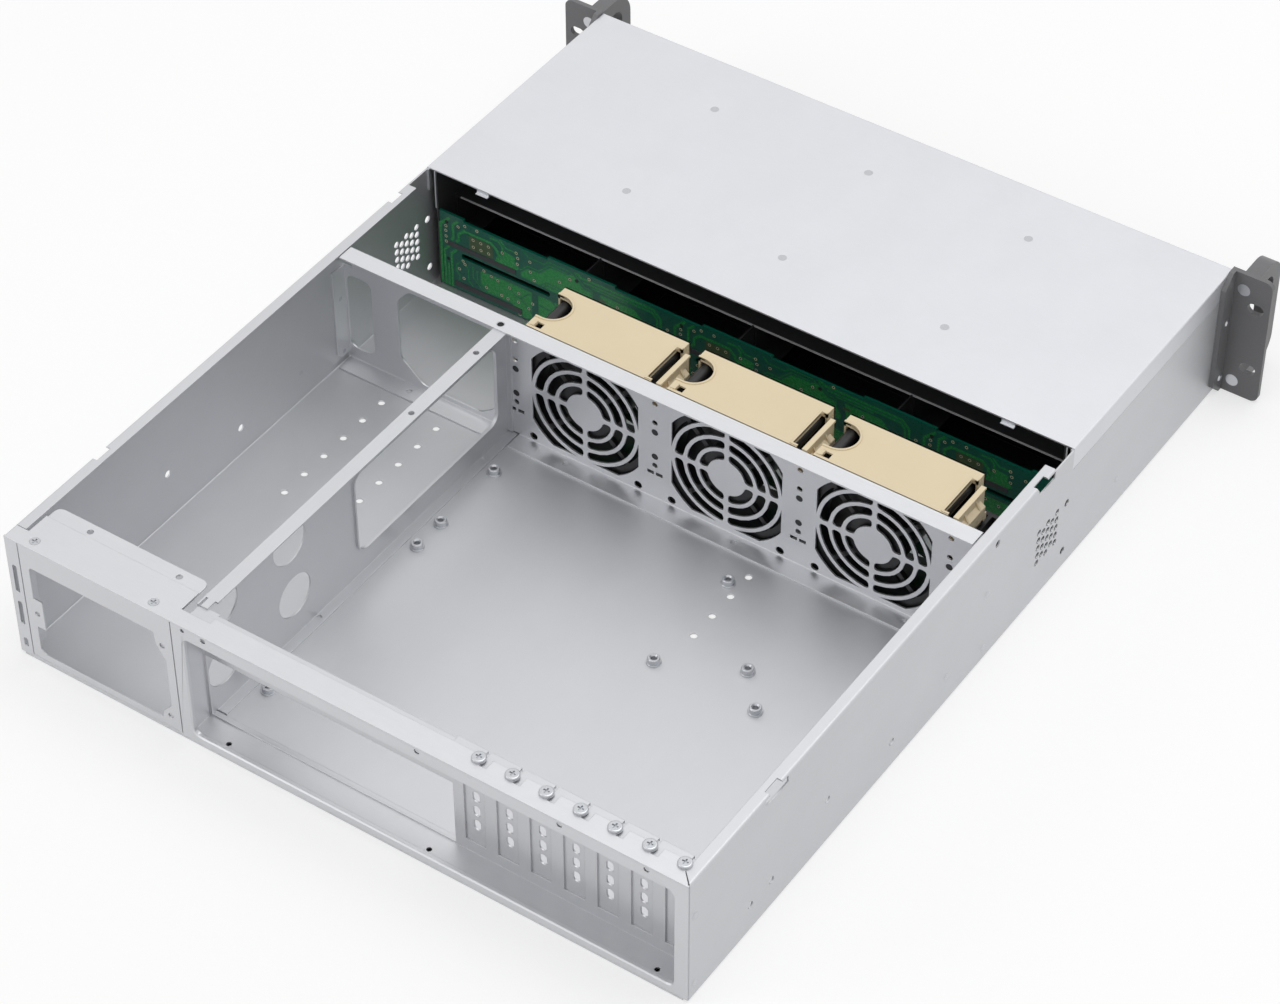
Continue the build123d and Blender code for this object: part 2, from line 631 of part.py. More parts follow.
def fan_housing(index):
    x = fan_x(index)
    left = x + FAN_SIZE / 2 + HOUSING_WALL
    right = x - FAN_SIZE / 2 - HOUSING_WALL - HOUSING_SPARE
    low = SHEET + FAN_FLOOR_GAP
    middle = (MODULE_REAR_Y + MODULE_FRONT_Y) / 2
    roof = rect(right, left, MODULE_FRONT_Y, MODULE_REAR_Y)
    roof -= dot(left, middle, NOTCH_RADIUS)
    roof -= rect(right + 3.9, right + 7.9, middle - 14.0, middle + 14.0)
    roof -= rect(left - 6.6, left - 3.6, MODULE_REAR_Y - 8.0, MODULE_REAR_Y - 5.0)
    housing = plate_z(roof, MODULE_TOP - HOUSING_WALL, MODULE_TOP)
    rim = dot(left, middle, NOTCH_RADIUS + 1.2) - dot(left, middle, NOTCH_RADIUS)
    rim = rim & rect(right, left, MODULE_FRONT_Y, MODULE_REAR_Y)
    housing += plate_z(rim, MODULE_TOP, MODULE_TOP + 0.6)
    side = rect(MODULE_FRONT_Y, MODULE_REAR_Y, low, MODULE_TOP - HOUSING_WALL)
    notched = side - rect(middle - NOTCH_RADIUS, middle + NOTCH_RADIUS, MODULE_TOP - 7.0, HEIGHT)
    housing += plate_x(notched, left - HOUSING_WALL, left)
    housing += plate_x(side, right, right + HOUSING_WALL)
    frame = rect(right, left, low, MODULE_TOP) - rect(right + 3.4, left - 2.4, low - 1, MODULE_TOP - 4.5)
    for y in (MODULE_FRONT_Y, MODULE_REAR_Y - FAN_LIP):
        housing += plate_y(frame, y, y + FAN_LIP)
    for y in (middle - 15.5, middle + 12.5):
        lug = rect(right - 4.8, right, PIVOT_Z - 2.5, PIVOT_Z + 2.5)
        lug -= dot(right - 2.6, PIVOT_Z, PIN_RADIUS + FIT)
        housing += plate_y(lug, y, y + 3.0)
    return housing


def fan_latch(index):
    """Thumb lever on the side of a module, sprung out and pinched in to lift the module."""
    right = fan_x(index) - FAN_SIZE / 2 - HOUSING_WALL - HOUSING_SPARE
    middle = (MODULE_REAR_Y + MODULE_FRONT_Y) / 2
    x = right - 2.6
    top = MODULE_TOP - 0.5
    side = shape((x - 0.8, PIVOT_Z), (x - 0.8, top - 9.0), (right - LATCH_REACH, top),
                 (right - 1.8, top), (x + 0.8, top - 1.4), (x + 0.8, PIVOT_Z))
    lever = plate_y(side, middle - 12.2, middle + 12.2)
    lever += rod_y(middle - 15.2, middle + 15.2, x, PIVOT_Z, PIN_RADIUS)
    lever += rod_y(middle - 12.2, middle + 12.2, x, PIVOT_Z, 2.2)
    return lever


def fan_place(index, y):
    """Frame of a fan: its own Z runs to the front along the fan's axis."""
    return Pos(fan_x(index), y, FAN_Z) * Rot(90, 0, 0)


def fan_frame(index):
    """Square-flanged fan frame with open corner posts, motor mount and four struts."""
    half = FAN_SIZE / 2
    square = RectangleRounded(FAN_SIZE, FAN_SIZE, 3.0) - Circle(FAN_BORE)
    corners = []
    for u in (-SCREW_SQUARE, SCREW_SQUARE):
        for v in (-SCREW_SQUARE, SCREW_SQUARE):
            square -= dot(u, v, FAN_HOLE)
            corners.append(dot(u, v, POST_RADIUS) - dot(u, v, FAN_HOLE))
    frame = plate_z(square, 0, FAN_FLANGE)
    frame += plate_z(square, FAN_DEPTH - FAN_FLANGE, FAN_DEPTH)
    frame += plate_z(Circle(half - 0.4) - Circle(FAN_BORE), 0, FAN_DEPTH)
    for corner in corners:
        frame += plate_z(corner, FAN_FLANGE, FAN_DEPTH - FAN_FLANGE)
    struts = rect(-FAN_BORE - 1, FAN_BORE + 1, -1.5, 1.5) + rect(-1.5, 1.5, -FAN_BORE - 1, FAN_BORE + 1)
    mount = plate_z(Rot(0, 0, 45) * struts, 0, 3.0) + plate_z(Circle(HUB_RADIUS), 0, 3.0)
    frame += mount - plate_z(Circle(SHAFT_RADIUS + FIT), -1, 4.0)
    return fan_place(index, MODULE_REAR_Y - FAN_LIP) * frame


def fan_blade():
    """One twisted blade, lofted from its root in the hub to its tip in the bore."""
    sections = []
    tip = FAN_BORE - BLADE_GAP
    for radius, sweep, low, high in ((HUB_RADIUS - 2.0, 5.5, 8.0, 29.0), (tip + 1.0, 13.0, 9.5, 27.0)):
        middle = (low + high) / 2
        belly = Vector(sweep * 0.30, middle, 0)
        back = Vector(sweep * 0.30 + 1.5, middle + 0.4, 0)
        front_arc = ThreePointArc((-sweep, low), (belly.X, belly.Y), (sweep, high))
        back_arc = ThreePointArc((sweep, high), (back.X, back.Y), (-sweep, low))
        outline = make_face(Curve() + [front_arc, back_arc])
        plane = Plane(origin=(radius, 0, 0), x_dir=(0, 1, 0), z_dir=(1, 0, 0))
        sections.append(plane * outline)
    return loft(sections, ruled=True) & plate_z(Circle(tip), 0, FAN_DEPTH)


def fan_rotor(index):
    hub = plate_z(Circle(HUB_RADIUS), 3.8, FAN_DEPTH - 3.0)
    hub = fillet(hub.edges().sort_by(Axis.Z)[-1], 2.0)
    rotor = hub + plate_z(Circle(SHAFT_RADIUS), 0.6, 4.0)
    blade = fan_blade()
    for step in range(BLADE_COUNT):
        rotor += Rot(0, 0, 360.0 * step / BLADE_COUNT) * blade
    return fan_place(index, MODULE_REAR_Y - FAN_LIP) * rotor


# Backplane and drive cage

BOARD_LOW = 1.5
BOARD_STEP = 165.3


def backplane():
    half = CAGE_INNER - 0.5
    face = rect(-half, half, BOARD_LOW, CAGE_TOP)
    for x in (-160.5, -53.5, 53.5, 160.5):
        face -= rect(x - 30.0, x + 30.0, CAGE_TOP - 2.0, CAGE_TOP + 1)
    for x0, x1 in ((129.5, 193.0), (-36.0, 28.0), (-201.0, -137.0)):
        face -= rect(x0, x1, 27.0, 30.8, 1.5)
    return plate_y(face, BOARD_FRONT_Y, BOARD_REAR_Y)


def bay_middle(column):
    return (column - (BAY_COLUMNS - 1) / 2) * BAY_STEP


def bay_floor(row):
    return CAGE_FLOOR + row * ROW_STEP


def backplane_connectors():
    """One drive socket for each bay, on the board's front face."""
    sockets = []
    for row in range(BAY_ROWS):
        for column in range(BAY_COLUMNS):
            x = bay_middle(column) + 14.0
            z = bay_floor(row) + 4.0
            socket = block(x - 20.5, x + 20.5, BOARD_FRONT_Y - 7.0, BOARD_FRONT_Y, z, z + 6.0)
            socket -= block(x - 17.0, x + 17.0, BOARD_FRONT_Y - 8.0, BOARD_FRONT_Y - 2.0, z + 1.5, z + 3.8)
            sockets.append(socket)
    return sockets


def ledges(x, side, length0, length1):
    """Runner that the upper tray stands on, on one face of a cage wall."""
    edge = x + side * 3.0
    z = bay_floor(1)
    return block(min(x, edge), max(x, edge), length0, length1, z - CAGE_SHEET, z)


def drive_cage():
    rear = BOARD_REAR_Y + 0.1
    front = FRONT + 2.0
    floor = block(-CAGE_OUTER, CAGE_OUTER, front, BOARD_FRONT_Y, SHEET, CAGE_FLOOR)
    roof_rear = BOARD_FRONT_Y - CAGE_TOP_SHORT
    roof = block(-CAGE_OUTER, CAGE_OUTER, front, roof_rear, CAGE_TOP - CAGE_SHEET, CAGE_TOP)
    cage = floor + roof
    for side in (-1, 1):
        near = side * CAGE_INNER
        far = side * CAGE_OUTER
        cage += block(min(near, far), max(near, far), front, rear, SHEET, TOP)
        cage += ledges(near, -side, front, BOARD_FRONT_Y)
    return cage


def cage_dividers():
    dividers = []
    for step in range(1, BAY_COLUMNS):
        x = (step - BAY_COLUMNS / 2) * BAY_STEP
        half = CAGE_SHEET / 2
        divider = block(x - half, x + half, FRONT + 2.0, BOARD_FRONT_Y, CAGE_FLOOR, CAGE_TOP - CAGE_SHEET)
        divider += ledges(x + half, 1, FRONT + 2.0, BOARD_FRONT_Y)
        divider += ledges(x - half, -1, FRONT + 2.0, BOARD_FRONT_Y)
        riser = BOARD_FRONT_Y - CAGE_TOP_SHORT
        divider += block(x - half, x + half, riser, BOARD_FRONT_Y, CAGE_TOP - CAGE_SHEET, CAGE_TOP)
        dividers.append(divider)
    return dividers


def cover_rails():
    """Channels on the cage roof that the front cover is riveted to."""
    rails = []
    y0 = BOARD_FRONT_Y - 150.0
    y1 = BOARD_FRONT_Y - 30.0
    for step in (-1, 0, 1):
        x = step * COVER_RIVET_X
        half = RAIL_WIDTH / 2
        outline = rect(x - half, x + half, CAGE_TOP, TOP)
        outline -= rect(x - half + CAGE_SHEET, x + half + 1, CAGE_TOP + CAGE_SHEET, TOP - CAGE_SHEET)
        rail = plate_y(outline, y0, y1)
        for distance in COVER_RIVET_ROWS:
            rail -= rod_z(TOP - 3, HEIGHT, x, FRONT + distance, RIVET_SHANK + FIT)
        rails.append(rail)
    return rails


def drive_tray(index):
    """Open tray: side rails, a frame floor and a bezel with a slot for the lever."""
    column = index % BAY_COLUMNS
    row = index // BAY_COLUMNS
    x = bay_middle(column)
    half = TRAY_WIDTH / 2
    low = bay_floor(row)
    high = low + BAY_HEIGHT - 0.5
    rear = FRONT + BEZEL + DRIVE_LENGTH
    floor = rect(x - half, x + half, FRONT + BEZEL, rear)
    floor -= rect(x - half + 12, x + half - 12, FRONT + BEZEL + 12, rear - 60)
    floor -= rect(x - half + 12, x + half - 12, rear - 48, rear + 1)
    tray = plate_z(floor, low, low + TRAY_WALL)
    for side in (-1, 1):
        near = x + side * (half - TRAY_WALL)
        far = x + side * half
        tray += block(min(near, far), max(near, far), FRONT + BEZEL, rear, low, high)
    bezel = block(x - half, x + half, FRONT + LEVER_THICK + 0.5, FRONT + BEZEL, low, high)
    lever_z = (low + high) / 2
    bezel -= block(x - half + 8, x + half - 8, FRONT, FRONT + BEZEL - 2, low + 2.0, lever_z - 7.0)
    bezel -= block(x - half + 8, x + half - 8, FRONT, FRONT + BEZEL - 2, lever_z + 7.0, high - 2.0)
    post = LEVER_HEIGHT / 2 + 0.2
    for z0, z1 in ((lever_z - post - 2.0, lever_z - post), (lever_z + post, lever_z + post + 2.0)):
        arm = block(x + half - 9.0, x + half - 1.0, FRONT, FRONT + LEVER_THICK + 1.0, z0, z1)
        bezel += arm
    pin_x = x + half - 5.0
    pin_y = FRONT + LEVER_THICK / 2
    bezel -= rod_z(lever_z - post - 3.0, lever_z + post + 3.0, pin_x, pin_y, LEVER_PIN + FIT)
    return tray + bezel


def tray_lever(index):
    """Latch lever across the tray front, swinging out on an upright pin."""
    column = index % BAY_COLUMNS
    row = index // BAY_COLUMNS
    half = TRAY_WIDTH / 2
    low = bay_floor(row)
    z = (2 * low + BAY_HEIGHT - 0.5) / 2
    pin_x = bay_middle(column) + half - 5.0
    end_x = bay_middle(column) - half + 6.0
    y = FRONT + LEVER_THICK / 2
    arm = rect(end_x, pin_x, y - LEVER_THICK / 2, y + LEVER_THICK / 2)
    arm -= rect(end_x + 3.0, end_x + 16.0, y - 0.6, y + LEVER_THICK)
    lever = plate_z(arm, z - LEVER_HEIGHT / 2, z + LEVER_HEIGHT / 2)
    lever += rod_z(z - LEVER_HEIGHT / 2, z + LEVER_HEIGHT / 2, pin_x, y, LEVER_THICK / 2)
    pin = LEVER_HEIGHT / 2 + 1.8
    return lever + rod_z(z - pin, z + pin, pin_x, y, LEVER_PIN)


# Front cover and its rivets

def top_cover():
    outline = rect(RIGHT, LEFT, SKIRT_Z, HEIGHT) - rect(RIGHT + SHEET, LEFT - SHEET, SKIRT_Z - 1, TOP)
    outline = fillet(outline.vertices().group_by(Axis.Y)[-1], BEND + 0.4)
    cover = plate_y(outline, FRONT, COVER_REAR_Y)
    for middle in (175.1, -174.0):
        tab = block(middle - 4.2, middle + 4.2, COVER_REAR_Y - 1.6, COVER_REAR_Y, TOP - 2.0, TOP)
        tab += block(middle - 4.2, middle + 4.2, COVER_REAR_Y - 1.6, COVER_REAR_Y + 1.5, TOP - 2.6, TOP - 2.0)
        cover += tab
    for x in (-COVER_RIVET_X, 0, COVER_RIVET_X):
        for distance in COVER_RIVET_ROWS:
            cover -= countersunk(x, FRONT + distance, HEIGHT, 2.6, SHEET, 2.0, RIVET_SHANK + FIT)
    return cover


def cover_rivets():
    rivets = []
    for x in (-COVER_RIVET_X, 0, COVER_RIVET_X):
        for distance in COVER_RIVET_ROWS:
            rivets.append(countersunk(x, FRONT + distance, HEIGHT, 2.6 - FIT, SHEET, 3.0, RIVET_SHANK))
    return rivets


def front_panel():
    """Strip above the drive bays, with the controls and a blanked slim drive bay."""
    half = CAGE_INNER - 0.3
    y0 = FRONT
    y1 = FRONT + 12.0
    low = CAGE_TOP + 0.2
    high = TOP - 0.2
    panel = block(-half, half, y0, y1, low, high)
    panel -= block(-half + 2, half - 2, y0 + 2.5, y1 + 1, low + 2, high - 2)
    blank = rect(LEFT - 170.0, LEFT - 41.0, low + 6.0, low + 18.7)
    blank -= rect(LEFT - 168.8, LEFT - 42.2, low + 7.2, low + 17.5)
    panel -= plate_y(blank, y0 - 1, y0 + 1.0)
    for x in (RIGHT + 70.0, RIGHT + 88.0):
        panel -= block(x - 6.6, x + 6.6, y0 - 1, y1, low + 10.0, low + 15.7)
    for step in range(4):
        panel -= rod_y(y0 - 1, y1, RIGHT + 42.0 + 6.0 * step, low + 18.0, 1.5)
    panel -= rod_y(y0 - 1, y1, RIGHT + 24.0, low + 13.0, 6.2)
    for step in range(8):
        x = RIGHT + 112.0 + 16.0 * step
        panel -= rect_slot(x, low, y0, y1)
    panel += power_switch_mount(y0, low)
    return panel


def rect_slot(x, low, y0, y1):
    return plate_y(rect(x - 6.0, x + 6.0, low + 9.0, low + 15.0), y0 - 1, y1)


def power_switch_mount(y0, low):
    """Bridge behind the power button, with the bore that its stem slides in."""
    x = RIGHT + 24.0
    z = low + 13.0
    mount = block(x - 9.0, x + 9.0, y0 + 8.0, y0 + 10.0, low + 1.0, low + 25.0)
    return mount - rod_y(y0, y0 + 12, x, z, 2.0 + FIT)


def power_button():
    x = RIGHT + 24.0
    z = CAGE_TOP + 0.2 + 13.0
    button = rod_y(FRONT - 0.5, FRONT + 4.0, x, z, 5.8)
    return button + rod_y(FRONT + 4.0, FRONT + 10.5, x, z, 2.0)


# Rack ears and handles

def ear_left():
    front = FRONT - EAR_PROUD
    edge = RACK_WIDTH / 2
    near = LEFT + EAR_THICK
    outline = rect(LEFT, edge, 0, EAR_HEIGHT)
    outline = fillet(outline.vertices().group_by(Axis.X)[-1], EAR_CORNER)
    for side in (-1, 1):
        z = EAR_HEIGHT / 2 + side * RACK_UNIT / 2
        outline -= Pos(RACK_HOLES / 2, z) * SlotOverall(RACK_SLOT, RACK_SLOT_HIGH)
    ear = plate_y(outline, front, front + EAR_THICK)
    flange = rect(front, front + EAR_DEPTH, 0, EAR_HEIGHT)
    flange = chamfer(flange.vertices().group_by(Axis.X)[-1], 8.0)
    for z in (52.0, 11.0):
        flange -= dot(FRONT + 5.5, z, RIVET_SHANK + FIT)
    ear += plate_x(flange, LEFT, near)
    for z in handle_screw_heights():
        ear -= rod_y(front - 1, front + 5, LEFT + HANDLE_X, z, SCREW_SHANK + 0.3 + FIT)
        ear -= Pos(LEFT + HANDLE_X, front + EAR_THICK - 1.0, z) * Rot(-90, 0, 0) * Cone(2.0, 4.0, 2.0)
    return ear


def handle_screw_heights():
    return (HANDLE_LOW + HANDLE_LEG / 2, HANDLE_HIGH - HANDLE_LEG / 2)


def handle_left():
    front = FRONT - EAR_PROUD
    outer = rect(front - HANDLE_REACH, front, HANDLE_LOW, HANDLE_HIGH)
    outer = fillet(outer.vertices().group_by(Axis.X)[0], HANDLE_ROUND)
    inner = rect(front - HANDLE_REACH + HANDLE_LEG, front, HANDLE_LOW + HANDLE_LEG, HANDLE_HIGH - HANDLE_LEG)
    inner = fillet(inner.vertices().group_by(Axis.X)[0], HANDLE_ROUND - HANDLE_LEG)
    x = LEFT + HANDLE_X
    handle = plate_x(outer - inner, x - HANDLE_WIDTH / 2, x + HANDLE_WIDTH / 2)
    for z in handle_screw_heights():
        handle -= rod_y(front - 9, front, x, z, SCREW_SHANK + 0.3 + FIT)
    return handle


def ear_screws():
    screws = []
    back = FRONT - EAR_PROUD + EAR_THICK
    for side in (-1, 1):
        for z in handle_screw_heights():
            x = side * (LEFT + HANDLE_X)
            screw = Pos(x, back - 1.0, z) * Rot(-90, 0, 0) * Cone(2.0 - FIT, 4.0 - FIT, 2.0)
            screws.append(screw + rod_y(back - 10.0, back - 2.0, x, z, SCREW_SHANK + 0.3))
    return screws


# Rivets and standoffs

def wall_rivet(side, y, z, face, grip):
    """Domed rivet through a side wall, its shank as long as the sheets it holds."""
    head = Rot(0, 90, 0) * Cone(RIVET_HEAD, RIVET_HEAD * 0.6, RIVET_HIGH)
    rivet = Pos(face + RIVET_HIGH / 2, y, z) * head
    rivet += rod_x(face - grip, face, y, z, RIVET_SHANK)
    return rivet if side > 0 else mirrored(rivet)


def wall_rivets():
    rivets = []
    for side in (-1, 1):
        for distance, z in REAR_RIVETS + WALL_RIVETS[:2]:
            rivets.append(wall_rivet(side, from_rear(distance), z, LEFT, 2 * SHEET))
        for distance, z in WALL_RIVETS[2:]:
            rivets.append(wall_rivet(side, from_rear(distance), z, LEFT, SHEET))
        for z in (52.0, 11.0):
            rivets.append(wall_rivet(side, FRONT + 5.5, z, LEFT + EAR_THICK, EAR_THICK))
    return rivets


def standoff_places():
    """Standard board hole grid: first row near the rear, then 154.94 and 227.33 further in."""
    row_b = BOARD_Y - 154.94
    row_c = BOARD_Y - 227.33
    row_m = BOARD_Y - 176.9
    second = BOARD_X - 157.48
    third = second - 45.72
    last = second - 124.46
    return ((BOARD_X, BOARD_Y - 22.86), (BOARD_X, row_b), (BOARD_X, row_m), (BOARD_X, row_c),
            (second, row_b), (second, row_c), (third, row_m), (second - 64.77, row_b),
            (last, BOARD_Y), (last, row_b), (last, row_c))


def board_standoffs():
    standoffs = []
    for x, y in standoff_places():
        foot = rod_z(SHEET, SHEET + 1.0, x, y, STANDOFF_FOOT)
        body = foot + rod_z(SHEET + 1.0, SHEET + STANDOFF_HIGH, x, y, STANDOFF_TOP)
        standoffs.append(body - rod_z(SHEET, SHEET + 6.0, x, y, STANDOFF_BORE))
    return standoffs


def nodes():
    """Every piece of the case by name; like fasteners share one name."""
    pieces = {
        "base_tray": base_tray(),
        "rear_panel": rear_panel(),
        "io_slot_wall": io_slot_wall(),
        "psu_bracket": psu_bracket(),
        "slot_screws": slot_screws(),
        "psu_screws": psu_screws(),
        "divider_wall": divider_wall(),
        "fan_wall": fan_wall(),
        "fan_guides": fan_guides(),
        "wall_rivets": wall_rivets(),
        "board_standoffs": board_standoffs(),
        "backplane": backplane(),
        "backplane_connectors": backplane_connectors(),
        "drive_cage": drive_cage(),
        "cage_dividers": cage_dividers(),
        "cover_rails": cover_rails(),
        "top_cover": top_cover(),
        "cover_rivets": cover_rivets(),
        "front_panel": front_panel(),
        "power_button": power_button(),
        "ear_left": ear_left(),
        "ear_right": mirrored(ear_left()),
        "handle_left": handle_left(),
        "handle_right": mirrored(handle_left()),
        "ear_screws": ear_screws(),
    }
    for index in range(SLOT_COUNT):
        pieces[f"slot_cover_{index + 1}"] = slot_cover(index)
    for index in range(FAN_COUNT):
        pieces[f"fan_housing_{index + 1}"] = fan_housing(index)
        pieces[f"fan_frame_{index + 1}"] = fan_frame(index)
        pieces[f"fan_rotor_{index + 1}"] = fan_rotor(index)
        pieces[f"fan_latch_{index + 1}"] = fan_latch(index)
    for index in range(BAY_COLUMNS * BAY_ROWS):
        pieces[f"drive_tray_{index + 1}"] = drive_tray(index)
        pieces[f"tray_lever_{index + 1}"] = tray_lever(index)
    return pieces


def write(name, piece):
    """One STEP file for a piece, or for a group of like fasteners."""
    solids = []
    for item in piece if isinstance(piece, list) else [piece]:
        solids += item.solids()
    whole = solids[0] if len(solids) == 1 else Compound(children=solids)
    export_step(whole, os.path.join("parts", name + ".step"))


os.makedirs("parts", exist_ok=True)
for name, piece in nodes().items():
    write(name, piece)
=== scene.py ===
import math

import bmesh
import bpy
from mathutils import Matrix, Vector
from mathutils.geometry import tessellate_polygon


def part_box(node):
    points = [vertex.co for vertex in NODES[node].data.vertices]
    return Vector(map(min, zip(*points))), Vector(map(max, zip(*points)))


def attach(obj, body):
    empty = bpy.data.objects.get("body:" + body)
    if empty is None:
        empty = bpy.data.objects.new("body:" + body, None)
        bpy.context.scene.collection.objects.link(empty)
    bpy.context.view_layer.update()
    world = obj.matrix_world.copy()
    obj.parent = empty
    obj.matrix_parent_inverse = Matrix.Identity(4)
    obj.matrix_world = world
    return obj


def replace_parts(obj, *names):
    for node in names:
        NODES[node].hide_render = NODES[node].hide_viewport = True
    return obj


bl_info = {
    "name": "Rackmount server case",
    "version": (1, 0, 0),
    "blender": (4, 5, 0),
    "location": "View3D > Sidebar > Server case",
    "description": "Finishes, board detail, camera and studio for an empty 2U rackmount case",
    "category": "Object",
}

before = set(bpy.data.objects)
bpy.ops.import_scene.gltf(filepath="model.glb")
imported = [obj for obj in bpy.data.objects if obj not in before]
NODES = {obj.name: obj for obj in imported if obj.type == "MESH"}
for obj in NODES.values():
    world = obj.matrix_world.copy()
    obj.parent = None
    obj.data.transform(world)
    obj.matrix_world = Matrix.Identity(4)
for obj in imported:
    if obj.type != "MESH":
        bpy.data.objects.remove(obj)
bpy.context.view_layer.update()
MM = 0.001

# Places and sizes are in mm in the case's frame: X to the power supply side, Y to the rear and
# Z up from the underside. Lamps, camera and floor are in metres.

# Edges of sheet and mouldings catch the light over this radius
EDGE_ROUND = 0.5

# Length of the zinc's grains when the sheet was rolled along or across the case
ROLLED_ALONG = (0.6, 9.0, 0.6)
ROLLED_ACROSS = (9.0, 0.6, 0.6)

# The backplane's rear face, and how deep its copper is set in
BOARD_LOW, BOARD_HIGH = (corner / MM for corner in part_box("backplane"))
BOARD_FACE = BOARD_HIGH.y
SUNK = 0.05

# The drive cage: roof, rear edge of the roof, side sheets and dividers between the bays
CAGE_ROOF = BOARD_HIGH.z
ROOF_REAR = -113.0
CAGE_SIDE = 210.0
DIVIDERS = (-104.5, 0.0, 104.5)

# The fan wall: rear face, sheet, top, bends, end flanges and columns of small holes
WALL_Y = -13.0
WALL_THICK = 1.2
WALL_HIGH = 86.5
WALL_HALF = 207.0
BEND = 1.6
END_INNER = 213.0
END_OUTER = 214.0
COLUMNS = (93.55, -0.55, -94.65, -188.75)
NUT_PLACE = (98.1, WALL_Y + 6.3)

# The punched grilles: middles of the fans, fan screws, hub, ribs, webs and reach
FANS = (46.5, -47.6, -141.7)
FAN_MIDDLE = 41.5
FAN_SCREW = 35.75
GRILLE_HUB = 12.2
GRILLE_RIB = 2.4
GRILLE_RIM = 2.0
GRILLE_WEB = 2.8
GRILLE_ROUND = 2.5
GRILLE_REACH = 36.0

# A fan module: front, rear and top of its hood, and the height of its latch's pivot
MODULE_FRONT = -54.7
MODULE_REAR = -14.7
MODULE_MIDDLE = (MODULE_FRONT + MODULE_REAR) / 2
MODULE_TOP = 84.5
PIVOT = 60.0

# The rear panel: both faces of its sheet, its top flange and its ends
REAR = 275.0
REAR_IN = 274.0
LIP_LOW = 85.5
LIP_HIGH = 86.5
FACE_END = 214.65

# Holes in the rear face by place in X and radius, and the rail slots by lower and upper end
FACE_HOLES = ((95.4, 1.3), (81.9, 1.7), (-53.4, 1.7), (-139.5, 1.7), (-190.5, 1.7))
FACE_HOLES_Z = 83.4
RAIL_SLOTS = ((47.3, 67.3), (23.3, 40.5), (6.5, 12.9))
RAIL_SLOTS_X = 210.2
RAIL_SLOT_ROUND = 1.5

# The power supply plate: sides of the gap it fills, the seam around it, and its two screws
PSU_LEFT = 205.7
PSU_RIGHT = 103.4
SEAM = 0.3
PSU_SCREWS = (198.2, 118.4)
PSU_SCREWS_Y = 269.1

# Expansion slots: the standard pitch, the first slot's edge and the flange's edge there
SLOT_PITCH = 20.32
SLOT_COUNT = 7
FIRST_SLOT = -68.25
SLOT_LIP_Y = 261.0

# Threaded standoffs on the board's standard hole grid, from its first hole
BOARD_HOLE = (86.2, 247.5)
HOLE_ROWS = (0.0, 22.86, 154.94, 176.9, 227.33)
HOLE_COLUMNS = (0.0, 157.48, 203.2, 222.25, 281.94)
HOLES_USED = ((0, 1), (0, 2), (0, 3), (0, 4), (1, 2), (1, 4), (2, 3), (3, 2), (4, 0), (4, 2),
              (4, 4))
STANDOFFS = [(BOARD_HOLE[0] - HOLE_COLUMNS[column], BOARD_HOLE[1] - HOLE_ROWS[row])
             for column, row in HOLES_USED]

# The backplane's copper on its rear face, in X and Z. It repeats along the board at this
# pitch, from the power supply side. Tracks and clearances begin with their width.
REPEAT = 165.3
POURS = (
    ((162, 47), (154, 45.5), (154.5, 41), (151, 38.5), (155.5, 34.5), (169, 36), (167, 40.5)),
    ((179.5, 23.5), (179.5, 14.5), (174.5, 9.5), (156.5, 9.5), (155.5, 4.5), (146.5, 2.5),
     (143, 4.5), (142.5, 24.5), (165, 24.5)),
    ((150, 36.5), (145, 41.5), (136.5, 42), (129, 49.5), (116.5, 50), (112.5, 52), (105.5, 45),
     (100.5, 44.5), (98.5, 40), (96, 37), (96, 32.5), (128, 32.5), (150, 33.5)),
    ((138, 3), (138, 24.5), (72, 24.5), (66, 18.5), (66, 3)),
    ((94, 46), (70, 46), (60, 36), (60, 32.5), (92, 32.5)),
)
TRACKS = (
    (1.8, ((207.6, 2), (207.6, 47), (200.6, 54))),
    (1.5, ((205.3, 2), (205.3, 28.6), (201.5, 32.4))),
    (1.6, ((202.6, 2), (202.6, 19))),
    (1.6, ((200.4, 2), (200.4, 27.5), (196.3, 31.6))),
    (1.6, ((200, 38), (198.5, 39.5), (198.5, 50), (194.5, 54))),
    (1.8, ((196.5, 38), (194.5, 40), (194.5, 44.5), (190.5, 48.5), (170.5, 48.5), (166.5, 44.5),
           (166.5, 43), (163.5, 40))),
    (1.2, ((172, 52.5), (166, 52.5), (163, 49.5), (163, 45.5))),
    (1.0, ((164.5, 54), (160, 49.5), (153.5, 49.5))),
    (0.6, ((194.5, 23), (197, 20.5), (197, 15.5), (195, 13.5), (195, 9))),
    (0.6, ((190.5, 23), (188.5, 21), (188.5, 12), (185, 8.5))),
    (0.6, ((185, 24.5), (185, 16), (177.5, 8.5))),
    (0.6, ((182, 22.5), (182, 15.5), (175, 8.5))),
    (0.6, ((148, 54), (144.5, 50.5), (133, 50.5), (130, 53.5), (115, 53.5), (113, 51.5))),
    (0.6, ((150.5, 38), (145, 43.5), (137, 43.5), (129.5, 51), (117, 51))),
    (0.6, ((112, 54), (104.5, 46.5), (101, 46.5), (99.5, 45), (99.5, 42))),
    (1.5, ((112, 54), (109, 54), (107.5, 52.5), (57, 52.5), (52, 47.5), (52, 41))),
    (1.2, ((105.5, 50), (58, 50), (54.5, 46.5), (54.5, 41))),
    (0.8, ((100, 48), (75, 48))),
    (1.6, ((63, 24), (63, 12), (55, 4))),
    (1.6, ((60, 24), (60, 14), (50, 4))),
    (1.2, ((57, 24), (57, 15), (47, 5))),
)
